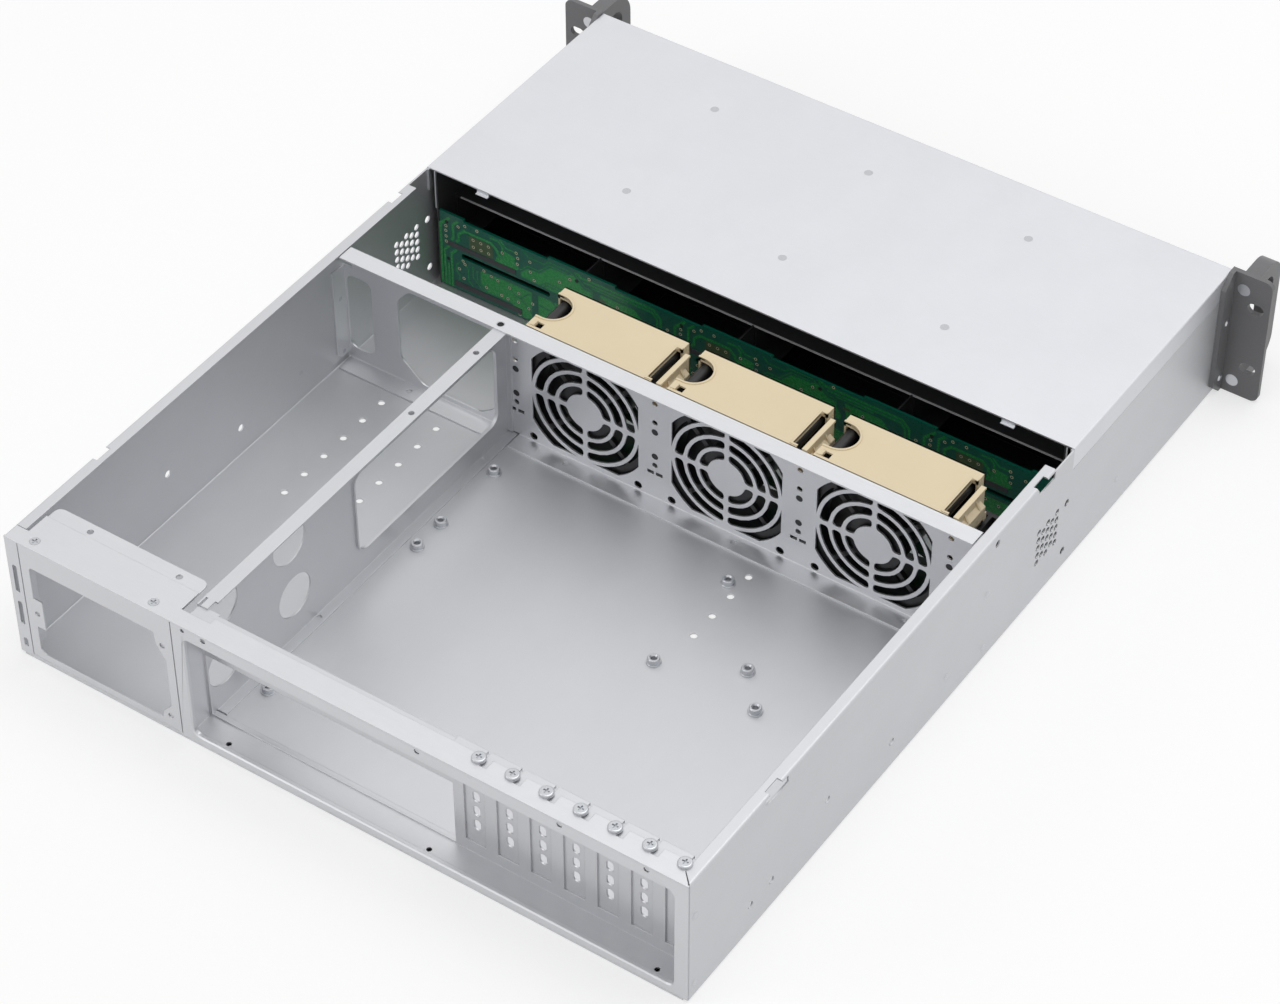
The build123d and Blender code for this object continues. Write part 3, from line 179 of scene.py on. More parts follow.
CLEARANCE_RUNS = (
    (0.7, ((136.5, 32.5), (132, 37), (120, 37))),
    (0.7, ((134, 32.5), (131.5, 35), (122.5, 35))),
    (0.7, ((151, 16), (145, 22), (142.5, 22))),
    (0.7, ((158.5, 20.5), (154, 16), (150, 16), (143, 9))),
    (0.8, ((138, 17), (112, 17), (104, 9), (66, 9))),
    (0.8, ((128, 24.5), (120.5, 17))),
    (0.8, ((96, 24.5), (88.5, 17), (88.5, 9))),
)
VIAS = (
    (203.8, 43.2), (203.8, 39), (203.8, 35.1), (203.6, 46.8), (194.6, 50), (189.7, 52.6),
    (181, 53), (163, 45), (153, 49.5), (152, 46), (152.4, 41.5), (143.3, 47.3), (143.2, 39.8),
    (192, 25.2), (191.9, 12), (195, 18), (190.7, 23.2), (177, 24.8), (171.7, 23), (167, 22),
    (175.5, 12.8), (164.5, 12), (160, 11.5), (158.5, 20.5), (152, 19.5), (152.5, 12.5),
    (151.5, 3.5), (145, 11), (142.2, 16), (140.6, 34.7), (122.5, 42), (115, 47.5), (101.5, 54),
    (126, 12), (118, 20), (109, 21), (98, 13), (84, 20), (79, 13), (90, 36), (82, 42), (75, 36),
    (54.5, 39.8), (52, 39.5), (47.5, 30), (47.5, 36), (47.5, 42),
    (184, 44.8), (178.5, 44.8), (173, 44.8), (184, 39.6), (178.5, 39.6), (173, 39.6),
)
SCREW_HOLES = ((203, 50), (202.7, 22.3), (110.3, 48.5))
PADS = (((170, 37), (187, 47)), ((90, 41), (95, 43)))
STRIPS = (((153.6, 33), (202.5, 36.5)), ((150, 4), (198.5, 8)), ((58, 4), (107, 8)))


def numbered(stem, count):
    """The names of like nodes, which are numbered from 1."""
    return [f"{stem}_{index}" for index in range(1, count + 1)]


def linear(colour):
    """Turns an sRGB hex colour into the linear values that a shader works in."""
    values = []
    for start in (1, 3, 5):
        value = int(colour[start:start + 2], 16) / 255
        values.append(value / 12.92 if value <= 0.04045 else ((value + 0.055) / 1.055) ** 2.4)
    return values


def colour_setting(name, description, colour):
    """A colour property whose default is an sRGB hex colour."""
    return bpy.props.FloatVectorProperty(
        name=name, description=description, default=linear(colour), subtype="COLOR",
        size=3, min=0.0, max=1.0)


class CaseColours(bpy.types.PropertyGroup):
    """Colours of the case's finishes"""

    tray: colour_setting("Case sheet", "Galvanised sheet of the tray, walls and panels", "#CDCED1")
    cover: colour_setting("Cover sheet", "Galvanised sheet of the front cover", "#DBDCE0")
    screws: colour_setting("Screws and rivets", "Zinc plate of the small fasteners", "#C4C6CA")
    cage: colour_setting("Drive cage", "Black powder coat of the drive cage", "#38383A")
    wall: colour_setting("Fan wall", "Galvanised sheet of the fan wall", "#D8D9DC")
    rear: colour_setting("Rear face", "Galvanised sheet of the rear panel", "#D3D4D7")
    ears: colour_setting("Rack ears", "Dark grey paint of the ears and handles", "#757577")
    mask: colour_setting("Solder mask", "Green lacquer of the backplane", "#0A6450")
    tracks: colour_setting("Tracks", "Mask over copper, which is lighter", "#259A4C")
    housing: colour_setting("Fan housings", "Cream plastic of the fan modules", "#EDDCBA")
    fan: colour_setting("Fans", "Black plastic of the fans and guides", "#1B1B1D")


class CaseStudio(bpy.types.PropertyGroup):
    """Camera, lights and floor"""

    lens: bpy.props.FloatProperty(
        name="Lens", description="Focal length on a 36 mm wide sensor", default=108.159,
        min=20.0, max=300.0, subtype="DISTANCE_CAMERA")
    overhead: bpy.props.FloatProperty(
        name="Overhead light", description="Power of the large softbox above the case",
        default=16.0, min=0.0, max=200.0, unit="POWER")
    side: bpy.props.FloatProperty(
        name="Side light", description="Power of the softbox on the power supply side",
        default=6.0, min=0.0, max=200.0, unit="POWER")
    ambient: bpy.props.FloatProperty(
        name="Ambient light", description="Strength of the even light all round",
        default=0.55, min=0.0, max=2.0)


def add(tree, kind, inputs=None, **settings):
    """Adds a shader node, sets its properties, and fills or links its inputs by name or number."""
    node = tree.nodes.new("ShaderNode" + kind)
    for name, value in settings.items():
        setattr(node, name, value)
    for name, value in (inputs or {}).items():
        if isinstance(value, bpy.types.NodeSocket):
            tree.links.new(value, node.inputs[name])
        else:
            node.inputs[name].default_value = value
    return node


def new_material(name):
    """A material with an empty node tree and its output node."""
    material = bpy.data.materials.new(name)
    material.use_nodes = True
    tree = material.node_tree
    tree.nodes.clear()
    output = add(tree, "OutputMaterial")
    return material, tree, output


def per_mm(size):
    """Texture scale, in metres, of a pattern whose repeat is that many mm."""
    return 1.0 / (size * MM)


def grain(tree, lengths):
    """Noise whose grains are that many mm long on each axis, as a value from 0 to 1."""
    place = add(tree, "TexCoord")
    stretch = add(tree, "Mapping", {"Vector": place.outputs["Object"],
                                    "Scale": [per_mm(length) for length in lengths]})
    return add(tree, "TexNoise", {"Vector": stretch.outputs[0], "Scale": 1.0, "Detail": 3.0,
                                  "Roughness": 0.6})


def spread(tree, value, low, high):
    """Moves a value from 0.3..0.7, where noise lives, to low..high."""
    return add(tree, "MapRange", {"Value": value, "From Min": 0.3, "From Max": 0.7,
                                  "To Min": low, "To Max": high}).outputs[0]


def tinted(tree, fac, colour, dark, light):
    """The colour made darker and lighter by the two factors, as fac goes from 0 to 1."""
    ends = [[min(1.0, channel * factor) for channel in colour] + [1.0] for factor in (dark, light)]
    mix = add(tree, "Mix", {0: fac, 6: ends[0], 7: ends[1]}, data_type="RGBA")
    return mix.outputs[2]


def galvanised_sheet(name, colour, roughness, grain_lengths):
    """Electro-galvanised steel, cold rolled and left bare.

    The eye sees a soft satin white-grey that mirrors large shapes only, with a faint grain
    along the rolling direction and cloudy patches where the zinc crystals differ.
    """
    material, tree, output = new_material(name)
    fine = grain(tree, grain_lengths)
    clouds = grain(tree, (38.0, 52.0, 38.0))
    both = add(tree, "Math", {0: fine.outputs["Fac"], 1: clouds.outputs["Fac"]}, operation="ADD")
    level = add(tree, "MapRange", {"Value": both.outputs[0], "From Min": 0.75, "From Max": 1.25})
    edge = add(tree, "Bevel", {"Radius": EDGE_ROUND * MM}, samples=4)
    bump = add(tree, "Bump", {"Strength": 0.05, "Distance": 0.02 * MM,
                              "Height": fine.outputs["Fac"], "Normal": edge.outputs[0]})
    shader = add(tree, "BsdfPrincipled", {
        "Base Color": tinted(tree, level.outputs[0], colour, 0.98, 1.015),
        "Metallic": 0.85,
        "Roughness": spread(tree, fine.outputs["Fac"], roughness - 0.04, roughness + 0.04),
        "Normal": bump.outputs[0]})
    tree.links.new(shader.outputs[0], output.inputs[0])
    return material


def zinc_plate(name, colour):
    """Bright zinc plate on a turned or headed fastener: smoother than sheet, with tool marks."""
    material, tree, output = new_material(name)
    fine = grain(tree, (0.5, 0.5, 0.5))
    shader = add(tree, "BsdfPrincipled", {
        "Base Color": tinted(tree, fine.outputs["Fac"], colour, 0.9, 1.05),
        "Metallic": 1.0,
        "Roughness": spread(tree, fine.outputs["Fac"], 0.26, 0.36)})
    tree.links.new(shader.outputs[0], output.inputs[0])
    return material


def powder_coat(name, colour, roughness):
    """Powder coat on steel: an even colour, with the fine orange peel of baked powder."""
    material, tree, output = new_material(name)
    peel = grain(tree, (1.2, 1.2, 1.2))
    bump = add(tree, "Bump", {"Strength": 0.2, "Distance": 0.04 * MM,
                              "Height": peel.outputs["Fac"]})
    shader = add(tree, "BsdfPrincipled", {
        "Base Color": tinted(tree, peel.outputs["Fac"], colour, 0.92, 1.08),
        "Roughness": spread(tree, peel.outputs["Fac"], roughness - 0.05, roughness + 0.05),
        "Normal": bump.outputs[0]})
    tree.links.new(shader.outputs[0], output.inputs[0])
    return material


def moulded_plastic(name, colour, roughness):
    """Moulded plastic with the fine spark-eroded texture of its mould, 0.4 mm grit."""
    material, tree, output = new_material(name)
    grit = grain(tree, (0.4, 0.4, 0.4))
    flow = grain(tree, (30.0, 30.0, 12.0))
    edge = add(tree, "Bevel", {"Radius": EDGE_ROUND * MM}, samples=4)
    bump = add(tree, "Bump", {"Strength": 0.12, "Distance": 0.03 * MM,
                              "Height": grit.outputs["Fac"], "Normal": edge.outputs[0]})
    shader = add(tree, "BsdfPrincipled", {
        "Base Color": tinted(tree, flow.outputs["Fac"], colour, 0.96, 1.03),
        "Roughness": spread(tree, grit.outputs["Fac"], roughness - 0.05, roughness + 0.05),
        "Normal": bump.outputs[0]})
    tree.links.new(shader.outputs[0], output.inputs[0])
    return material


def solder_mask(name, colour, roughness=0.3):
    """Green lacquer or tin on a glass fibre board: glossy, and mottled where the weave shows."""
    material, tree, output = new_material(name)
    weave = grain(tree, (1.0, 1.0, 1.0))
    shader = add(tree, "BsdfPrincipled", {
        "Base Color": tinted(tree, weave.outputs["Fac"], colour, 0.85, 1.12),
        "Roughness": spread(tree, weave.outputs["Fac"], roughness - 0.04, roughness + 0.06)})
    tree.links.new(shader.outputs[0], output.inputs[0])
    return material


def dress(names, material):
    """Gives CAD nodes a material."""
    for name in names:
        node = NODES[name]
        if not node.material_slots:
            node.data.materials.append(material)
        for slot in node.material_slots:
            slot.material = material


def solid(name, corners, faces, material, body="case"):
    """A new piece from its corners in mm and its faces, riding on a body."""
    mesh = bpy.data.meshes.new(name)
    mesh.from_pydata([Vector(corner) * MM for corner in corners], [], faces)
    work = bmesh.new()
    work.from_mesh(mesh)
    bmesh.ops.recalc_face_normals(work, faces=work.faces)
    work.to_mesh(mesh)
    work.free()
    piece = bpy.data.objects.new(name, mesh)
    bpy.context.scene.collection.objects.link(piece)
    mesh.materials.append(material)
    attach(piece, body)
    return piece


class Shape:
    """Corners and faces of many small closed forms that make up one piece."""

    def __init__(self):
        self.corners = []
        self.faces = []

    def prism(self, outline, low, high):
        """A flat form that faces the rear: an outline in X and Z, from low to high in Y."""
        start = len(self.corners)
        count = len(outline)
        self.corners += [(x, low, z) for x, z in outline] + [(x, high, z) for x, z in outline]
        self.faces.append([start + index for index in range(count)])
        self.faces.append([start + count + index for index in reversed(range(count))])
        for index in range(count):
            after = (index + 1) % count
            self.faces.append([start + after, start + index, start + count + index,
                               start + count + after])

    def plate(self, loops, low, high, lay, far_loops=None):
        """A flat sheet from low to high: its outline, then its holes, as lay turns them.

        Where an edge slopes, far_loops are the loops at the high side.
        """
        start = len(self.corners)
        count = sum(len(loop) for loop in loops)
        for depth, level in ((low, loops), (high, far_loops or loops)):
            self.corners += [lay(u, v, depth) for loop in level for u, v in loop]
        flat = [[Vector((u, v, 0.0)) for u, v in loop] for loop in loops]
        for triangle in tessellate_polygon(flat):
            self.faces.append([start + corner for corner in triangle])
            self.faces.append([start + count + corner for corner in reversed(triangle)])
        for loop in loops:
            for index in range(len(loop)):
                here = start + index
                after = start + (index + 1) % len(loop)
                self.faces.append([here, after, after + count, here + count])
            start += len(loop)

    def turned(self, profile, x, y, sides=24):
        """A turned form on an upright axis, from its closed profile of radius and height."""
        start = len(self.corners)
        count = len(profile)
        for step in range(sides):
            angle = 2 * math.pi * step / sides
            self.corners += [(x + radius * math.cos(angle), y + radius * math.sin(angle), z)
                             for radius, z in profile]
        for step in range(sides):
            here = start + step * count
            there = start + (step + 1) % sides * count
            for index in range(count):
                after = (index + 1) % count
                self.faces.append([here + index, here + after, there + after, there + index])

    def block(self, low, high):
        """A box between two corners."""
        self.prism(between((low[0], low[2]), (high[0], high[2])), low[1], high[1])

    def ring(self, x, z, outer, inner, low, high, sides=14):
        """A flat ring that faces the rear."""
        start = len(self.corners)
        for radius, y in ((outer, low), (outer, high), (inner, high), (inner, low)):
            for step in range(sides):
                angle = 2 * math.pi * step / sides
                self.corners.append((x + radius * math.cos(angle), y,
                                     z + radius * math.sin(angle)))
        for band in range(4):
            for step in range(sides):
                after = (step + 1) % sides
                here = start + band * sides
                there = start + (band + 1) % 4 * sides
                self.faces.append([here + step, there + step, there + after, here + after])

    def make(self, name, material, body="case", slot=None):
        """Turns the forms into one piece of the case."""
        return solid(name, self.corners, self.faces, material, body)


def between(low, high):
    """The outline of a rectangle between two corners."""
    return [(low[0], low[1]), (high[0], low[1]), (high[0], high[1]), (low[0], high[1])]


def round_outline(x, z, radius, sides=12):
    """The outline of a round hole or pin."""
    return [(x + radius * math.cos(2 * math.pi * step / sides),
             z + radius * math.sin(2 * math.pi * step / sides)) for step in range(sides)]


def facing_rear(u, v, depth):
    """A sheet across the case: u along X, v up."""
    return (u, depth, v)


def lying(u, v, depth):
    """A level sheet: u along X, v along Y."""
    return (u, v, depth)


def facing_side(u, v, depth):
    """A sheet along the case: u along Y, v up."""
    return (depth, u, v)


def arc(u, v, radius, start, end, steps=10):
    """Points from one angle to another, in degrees, both ends included."""
    angles = [math.radians(start + (end - start) * step / steps) for step in range(steps + 1)]
    return [(u + radius * math.cos(angle), v + radius * math.sin(angle)) for angle in angles]


def eased(before, corner, after, steps=5):
    """A rounded corner that leaves one point and meets another."""
    points = []
    for step in range(steps + 1):
        t = step / steps
        points.append(tuple((1 - t) ** 2 * a + 2 * t * (1 - t) * b + t * t * c
                            for a, b, c in zip(before, corner, after)))
    return points


def rounded(points, radius):
    """An outline with each corner rounded."""
    outline = []
    for index, corner in enumerate(points):
        ends = []
        for other in (points[index - 1], points[(index + 1) % len(points)]):
            way = (Vector(other) - Vector(corner)).normalized() * radius
            ends.append((corner[0] + way.x, corner[1] + way.y))
        outline += eased(ends[0], corner, ends[1])
    return outline


def run_outline(points, width):
    """Outline of a track of that width along points, mitred at its bends."""
    left = []
    right = []
    for index, (x, z) in enumerate(points):
        ways = []
        if index:
            ways.append(Vector((x - points[index - 1][0], z - points[index - 1][1])).normalized())
        if index < len(points) - 1:
            ways.append(Vector((points[index + 1][0] - x, points[index + 1][1] - z)).normalized())
        way = sum(ways, Vector((0, 0))).normalized()
        side = Vector((-way.y, way.x))
        reach = width / 2 / max(0.5, abs(side.dot(Vector((-ways[0].y, ways[0].x)))))
        left.append((x + side.x * reach, z + side.y * reach))
        right.append((x - side.x * reach, z - side.y * reach))
    return right + left[::-1]


class SERVERCASE_OT_sheet_metal(bpy.types.Operator):
    """Gives the tray, walls, panels and front cover their galvanised sheet"""

    bl_idname = "servercase.sheet_metal"
    bl_label = "Sheet metal"

    def execute(self, context):
        colours = context.scene.case_colours
        tray = galvanised_sheet("galvanised_steel_tray", colours.tray, 0.48, ROLLED_ALONG)
        panel = galvanised_sheet("galvanised_steel_panel", colours.tray, 0.40, ROLLED_ACROSS)
        cover = galvanised_sheet("galvanised_steel_cover", colours.cover, 0.46, ROLLED_ACROSS)
        dress(["base_tray", "divider_wall"], tray)
        dress(["io_slot_wall"] + numbered("slot_cover", 7), panel)
        dress(["top_cover"], cover)
        return {"FINISHED"}


class SERVERCASE_OT_fasteners(bpy.types.Operator):
    """Gives screws and rivets their zinc plate, and builds the standoffs and the flange nut"""

    bl_idname = "servercase.fasteners"
    bl_label = "Screws and rivets"

    def execute(self, context):
        zinc = zinc_plate("zinc_plated_steel", context.scene.case_colours.screws)
        dress(["slot_screws", "wall_rivets", "cover_rivets", "ear_screws"], zinc)
        sleeves = Shape()
        profile = [(4.2, 1.0), (4.2, 1.8), (4.0, 2.0), (3.5, 2.0), (3.5, 4.7), (3.2, 5.0),
                   (2.3, 5.0), (1.5, 4.2), (1.5, 1.0)]
        for x, y in STANDOFFS:
            sleeves.turned(profile, x, y)
        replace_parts(sleeves.make("threaded_standoffs", zinc, slot="zinc_screws"),
                    "board_standoffs")
        under = WALL_HIGH - WALL_THICK
        nut = Shape()
        nut.turned([(2.5, under), (2.5, WALL_HIGH), (2.1, WALL_HIGH), (1.9, 86.3), (1.9, under)],
                   *NUT_PLACE)
        nut.make("flange_rivet_nut", zinc, slot="zinc_screws")
        # A flat dark disc is painted shade in the threaded hole, which the divider's flange closes
        # below
        nut_bore_shade = Shape()
        nut_bore_shade.plate([round_outline(*NUT_PLACE, 1.9, 16)], under, under + 0.4, lying)
        nut_bore_shade.make("flange_nut_bore_painted_shade", powder_coat("painted_shade_blind_thread", linear("#0C0C0D"), 0.6),
                    slot="zinc_screws")
        return {"FINISHED"}


class SERVERCASE_OT_fans(bpy.types.Operator):
    """Gives the fans and their guides their plastics, and builds the hoods and thumb latches"""

    bl_idname = "servercase.fans"
    bl_label = "Fan modules"

    def execute(self, context):
        colours = context.scene.case_colours
        cream = moulded_plastic("moulded_abs_cream", colours.housing, 0.45)
        black = moulded_plastic("moulded_pbt_black", colours.fan, 0.42)
        dress(numbered("fan_frame", 3) + numbered("fan_rotor", 3) + ["fan_guides"], black)
        for index, x in enumerate(FANS, 1):
            left, right = x + 41.2, x - 42.4
            hood = housing_shape(left, right).make(f"fan_hood_{index}", cream,
                                                   f"fan_module_{index}", "cream_plastic")
            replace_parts(hood, f"fan_housing_{index}")
            lever = latch_shape(right).make(f"fan_thumb_latch_{index}", cream,
                                            f"fan_latch_{index}", "cream_plastic")
            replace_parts(lever, f"fan_latch_{index}")
        return {"FINISHED"}


class SERVERCASE_OT_drive_bays(bpy.types.Operator):
    """Gives the drive cage, trays and front strip their finishes"""

    bl_idname = "servercase.drive_bays"
    bl_label = "Drive bays"

    def execute(self, context):
        colours = context.scene.case_colours
        coat = powder_coat("black_powder_coat", colours.cage, 0.45)
        plastic = moulded_plastic("moulded_abs_black", colours.fan, 0.5)
        dress(["drive_cage", "cage_dividers", "cover_rails"], coat)
        dress(numbered("drive_tray", 8) + ["front_panel"], coat)
        dress(numbered("tray_lever", 8) + ["power_button", "backplane_connectors"], plastic)
        return {"FINISHED"}


class SERVERCASE_OT_rack_ears(bpy.types.Operator):
    """Gives the ears and handles their dark grey paint"""

    bl_idname = "servercase.rack_ears"
    bl_label = "Rack ears"

    def execute(self, context):
        paint = powder_coat("dark_grey_powder_coat", context.scene.case_colours.ears, 0.42)
        dress(["ear_left", "ear_right", "handle_left", "handle_right"], paint)
        return {"FINISHED"}


def ring_slot(inner, outer, web, ease):
    """A quarter of a ring slot, clear of the webs on both axes, with its corners eased."""
    points = []
    legs = [math.sqrt(radius ** 2 - web ** 2) for radius in (outer, inner)]
    angles = [math.degrees(math.asin(web / radius)) for radius in (outer, inner)]
    trims = [math.degrees(ease / radius) for radius in (outer, inner)]
    far = arc(0, 0, outer, angles[0] + trims[0], 90 - angles[0] - trims[0], 8)
    near = arc(0, 0, inner, 90 - angles[1] - trims[1], angles[1] + trims[1], 6)
    points += far[:-1] + eased(far[-1], (web, legs[0]), (web, legs[0] - ease), 4)
    points += eased((web, legs[1] + ease), (web, legs[1]), near[0], 4)
    points += near[1:-1] + eased(near[-1], (legs[1], web), (legs[1] + ease, web), 4)
    points += eased((legs[0] - ease, web), (legs[0], web), far[0], 4)[:-1]
    return points


def grille_loops(x, z):
    """The slots in front of one fan: three rings and the pointed corners, four of each."""
    ring = (GRILLE_REACH - GRILLE_RIM - GRILLE_HUB - 2 * GRILLE_RIB) / 3
    corner = GRILLE_REACH * 1.175
    tip = math.degrees(math.acos(GRILLE_REACH / (GRILLE_REACH + 0.3)))
    cut = math.degrees(math.acos(GRILLE_REACH / corner))
    quarter = []
    for step in range(3):
        inner = GRILLE_HUB + step * (ring + GRILLE_RIB)
        quarter.append(ring_slot(inner, inner + ring, GRILLE_WEB / 2, GRILLE_ROUND))
    quarter.append(arc(0, 0, corner, cut, 90 - cut, 6)
                   + arc(0, 0, GRILLE_REACH + 0.3, 90 - tip, tip, 12))
    loops = []
    for slot in quarter:
        for turn in range(4):
            points = slot
            for _ in range(turn):
                points = [(-v, u) for u, v in points]
            loops.append([(x + u, z + v) for u, v in points])
    return loops


def fan_wall_shape():
    """The fan wall: its upright web, both bends, top flange, foot flanges and end flanges."""
    floor = 1.0
    shoulder = 71.0
    upper = WALL_HIGH - BEND
    web = [[(-END_INNER, floor + BEND), (END_INNER, floor + BEND), (END_INNER, shoulder),
            (WALL_HALF, shoulder), (WALL_HALF, upper), (-WALL_HALF, upper),
            (-WALL_HALF, shoulder), (-END_INNER, shoulder)]]
    web.append(rounded(between((194.3, 10.5), (212, 64.8)), 6.0))
    web.append(rounded([(176, 61.8), (167, 72), (109, 72), (109, 12.9), (119, 5.4), (160, 5.4),
                        (175.6, 19.3)], 3.0))
    for x in FANS:
        web += grille_loops(x, FAN_MIDDLE)
        for du in (-FAN_SCREW, FAN_SCREW):
            for dv in (-FAN_SCREW, FAN_SCREW):
                web.append(round_outline(x + du, FAN_MIDDLE + dv, 2.6, 16))
    for x in COLUMNS:
        web += [round_outline(x, z, 1.8) for z in (72.0, 58.1, 26.3)]
        web += [round_outline(x, z, 2.2, 16) for z in (51.0, 32.9)]
        web += [between((x + dx - 2.2, 19.0), (x + dx + 2.2, 21.5)) for dx in (-2.9, 2.9)]
    wall = Shape()
    wall.plate(web, WALL_Y - WALL_THICK, WALL_Y, facing_rear)

    inner = BEND - WALL_THICK
    turn = WALL_Y - WALL_THICK + BEND
    top = arc(turn, upper, BEND, 180, 90, 6) + arc(turn, upper, inner, 90, 180, 3)
    wall.plate([top], -WALL_HALF, WALL_HALF, facing_side)
    flange = [between((-WALL_HALF, turn), (WALL_HALF, WALL_Y + 10.7)),
              round_outline(*NUT_PLACE, 2.5, 20)]
    foot = (arc(turn, floor + BEND, BEND, 180, 270, 6)
            + arc(turn, floor + BEND, inner, 270, 180, 3))
    wall.plate(flange, WALL_HIGH - WALL_THICK, WALL_HIGH, lying)
    for low, high, holes in ((-212, 92.3, (56.3, -56.9, -166.3)), (100.7, 212, (166.1,))):
        wall.plate([foot], low, high, facing_side)
        wall.plate([between((low, turn), (high, WALL_Y + 12))]
                   + [round_outline(x, WALL_Y + 5.8, 1.75) for x in holes],
                   floor, floor + WALL_THICK, lying)
    end = [(WALL_Y - WALL_THICK, 6), (-6, 6), (-2, 10), (-2, shoulder),
           (WALL_Y - WALL_THICK, shoulder)]
    holes = [round_outline(-8, z, 1.55) for z in (48.8, 9.2)]
    for side in (-1, 1):
        wall.plate([end] + holes, side * END_INNER, side * END_OUTER, facing_side)
    return wall


class SERVERCASE_OT_fan_wall(bpy.types.Operator):
    """Builds the folded wall behind the fans, with its punched grilles and bends"""

    bl_idname = "servercase.fan_wall"
    bl_label = "Fan wall"

    def execute(self, context):
        steel = galvanised_sheet("galvanised_steel_fan_wall", context.scene.case_colours.wall,
                                 0.4, ROLLED_ACROSS)
        wall = fan_wall_shape().make("fan_wall_folded", steel, slot="galvanised_steel")
        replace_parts(wall, "fan_wall")
        return {"FINISHED"}


def rear_panel_shape():
    """The rear panel: face with its port and slot opening, rolled collar, flange and returns."""
    opening = rounded(between((-206, 6.3), (95.8, 76.8)), 4.5)
    rolled = rounded(between((-206.8, 5.5), (96.6, 77.6)), 5.3)
    face = [[(-FACE_END, 1.3), (FACE_END, 1.3), (FACE_END, LIP_LOW), (PSU_LEFT + SEAM, LIP_LOW),
             (PSU_LEFT + SEAM, 2.7), (PSU_RIGHT - SEAM, 2.7), (PSU_RIGHT - SEAM, LIP_LOW),
             (-FACE_END, LIP_LOW)]]
    others = [round_outline(x, FACE_HOLES_Z, radius, 16) for x, radius in FACE_HOLES]
    for low, high in RAIL_SLOTS:
        others.append(arc(RAIL_SLOTS_X, high - RAIL_SLOT_ROUND, RAIL_SLOT_ROUND, 0, 180, 8)
                      + arc(RAIL_SLOTS_X, low + RAIL_SLOT_ROUND, RAIL_SLOT_ROUND, 180, 360, 8))
    panel = Shape()
    panel.plate(face + [opening] + others, REAR_IN, REAR, facing_rear, face + [rolled] + others)
    panel.plate([rounded(between((-207, 5.3), (96.8, 77.8)), 5.5), opening], REAR - 3.0, REAR_IN,
                facing_rear)
    panel.plate([between((-212, 0), (212, 1))], REAR_IN, REAR, facing_rear)

    lip = [(-FACE_END, REAR_IN), (-FACE_END, REAR), (FACE_END, REAR), (FACE_END, REAR_IN),
           (END_OUTER, REAR_IN), (END_OUTER, 265), (PSU_LEFT, 265), (PSU_LEFT, 251),
           (PSU_RIGHT, 251), (PSU_RIGHT, 265), (84.6, 265), (84.6, SLOT_LIP_Y)]
    holes = [round_outline(x, PSU_SCREWS_Y, 2.95, 20) for x in PSU_SCREWS]
    for index in range(SLOT_COUNT):
        x = FIRST_SLOT - index * SLOT_PITCH
        holes.append(round_outline(x - 15.2, 263.7, 1.75))
        if index < SLOT_COUNT - 1:
            lip += [(x - 17.7, SLOT_LIP_Y), (x - 17.7, 267.3), (x - 22, 267.3),
                    (x - 22, SLOT_LIP_Y)]
    lip += [(-208, SLOT_LIP_Y), (-208, 267.6), (-END_OUTER, REAR_IN)]
    panel.plate([lip] + holes, LIP_LOW, LIP_HIGH, lying)

    rivets = [round_outline(268.9, z, 1.55) for z in (59.8, 9.2)]
    for side in (-1, 1):
        panel.plate([between((263, 2), (REAR_IN, 77.5))] + rivets,
                    side * END_INNER, side * END_OUTER, facing_side)
    return panel


def psu_plate_shape():
    """The power supply plate: its stepped window, rounded lip and two side flanges."""
    left, right = PSU_LEFT - SEAM, PSU_RIGHT + SEAM
    window = rounded([(199.7, 10.2), (199.7, 27.5), (193.9, 27.5), (193.9, 48), (199.7, 48),
                      (199.7, 69.8), (198.3, 71.2), (115.7, 71.2), (114.8, 63), (109.1, 53.6),
                      (109.1, 19.8), (115, 13), (116.1, 7.5), (197, 7.5)], 0.9)
    holes = [round_outline(x, z, 1.75) for x, z in ((110.6, 63.8), (110.5, 11.6), (198.3, 37.4))]
    plate = Shape()
    plate.plate([between((right, 3), (left, LIP_LOW)), window] + holes, REAR_IN, REAR,
                facing_rear)
    edge = 241.4
    lip = [(right, REAR_IN), (left, REAR_IN)]
    lip += eased((left, edge + 5), (left, edge), (left - 5, edge))
    lip += eased((right + 5, edge), (right, edge), (right, edge + 5))
    holes = [round_outline(x, 246.8, 1.9, 16) for x in (179.5, 119.8)]
    holes += [round_outline(x, PSU_SCREWS_Y, 1.75) for x in PSU_SCREWS]
    plate.plate([lip] + holes, LIP_LOW - 1, LIP_LOW, lying)
    for x in (right, left - 1.0):
        plate.plate([between((266, 9), (REAR_IN, 77.5))], x, x + 1.0, facing_side)
    return plate


def psu_screws_shape():
    """Two countersunk screws, each a rim around its cross recess, a floor and a shank."""
    arm, half = 1.9, 0.45
    cross = ((half, half), (half, arm), (-half, arm), (-half, half), (-arm, half), (-arm, -half),
             (-half, -half), (-half, -arm), (half, -arm), (half, -half), (arm, -half), (arm, half))
    floor = LIP_LOW + 0.3
    y = PSU_SCREWS_Y
    screws = Shape()
    for x in PSU_SCREWS:
        recess = [(x + u, y + v) for u, v in cross]
        screws.plate([round_outline(x, y, 2.85, 24), recess], floor, LIP_HIGH, lying)
        screws.plate([round_outline(x, y, 2.5, 24)], LIP_LOW, floor, lying)
        screws.plate([round_outline(x, y, 1.7)], LIP_HIGH - 5.0, LIP_LOW, lying)
    return screws


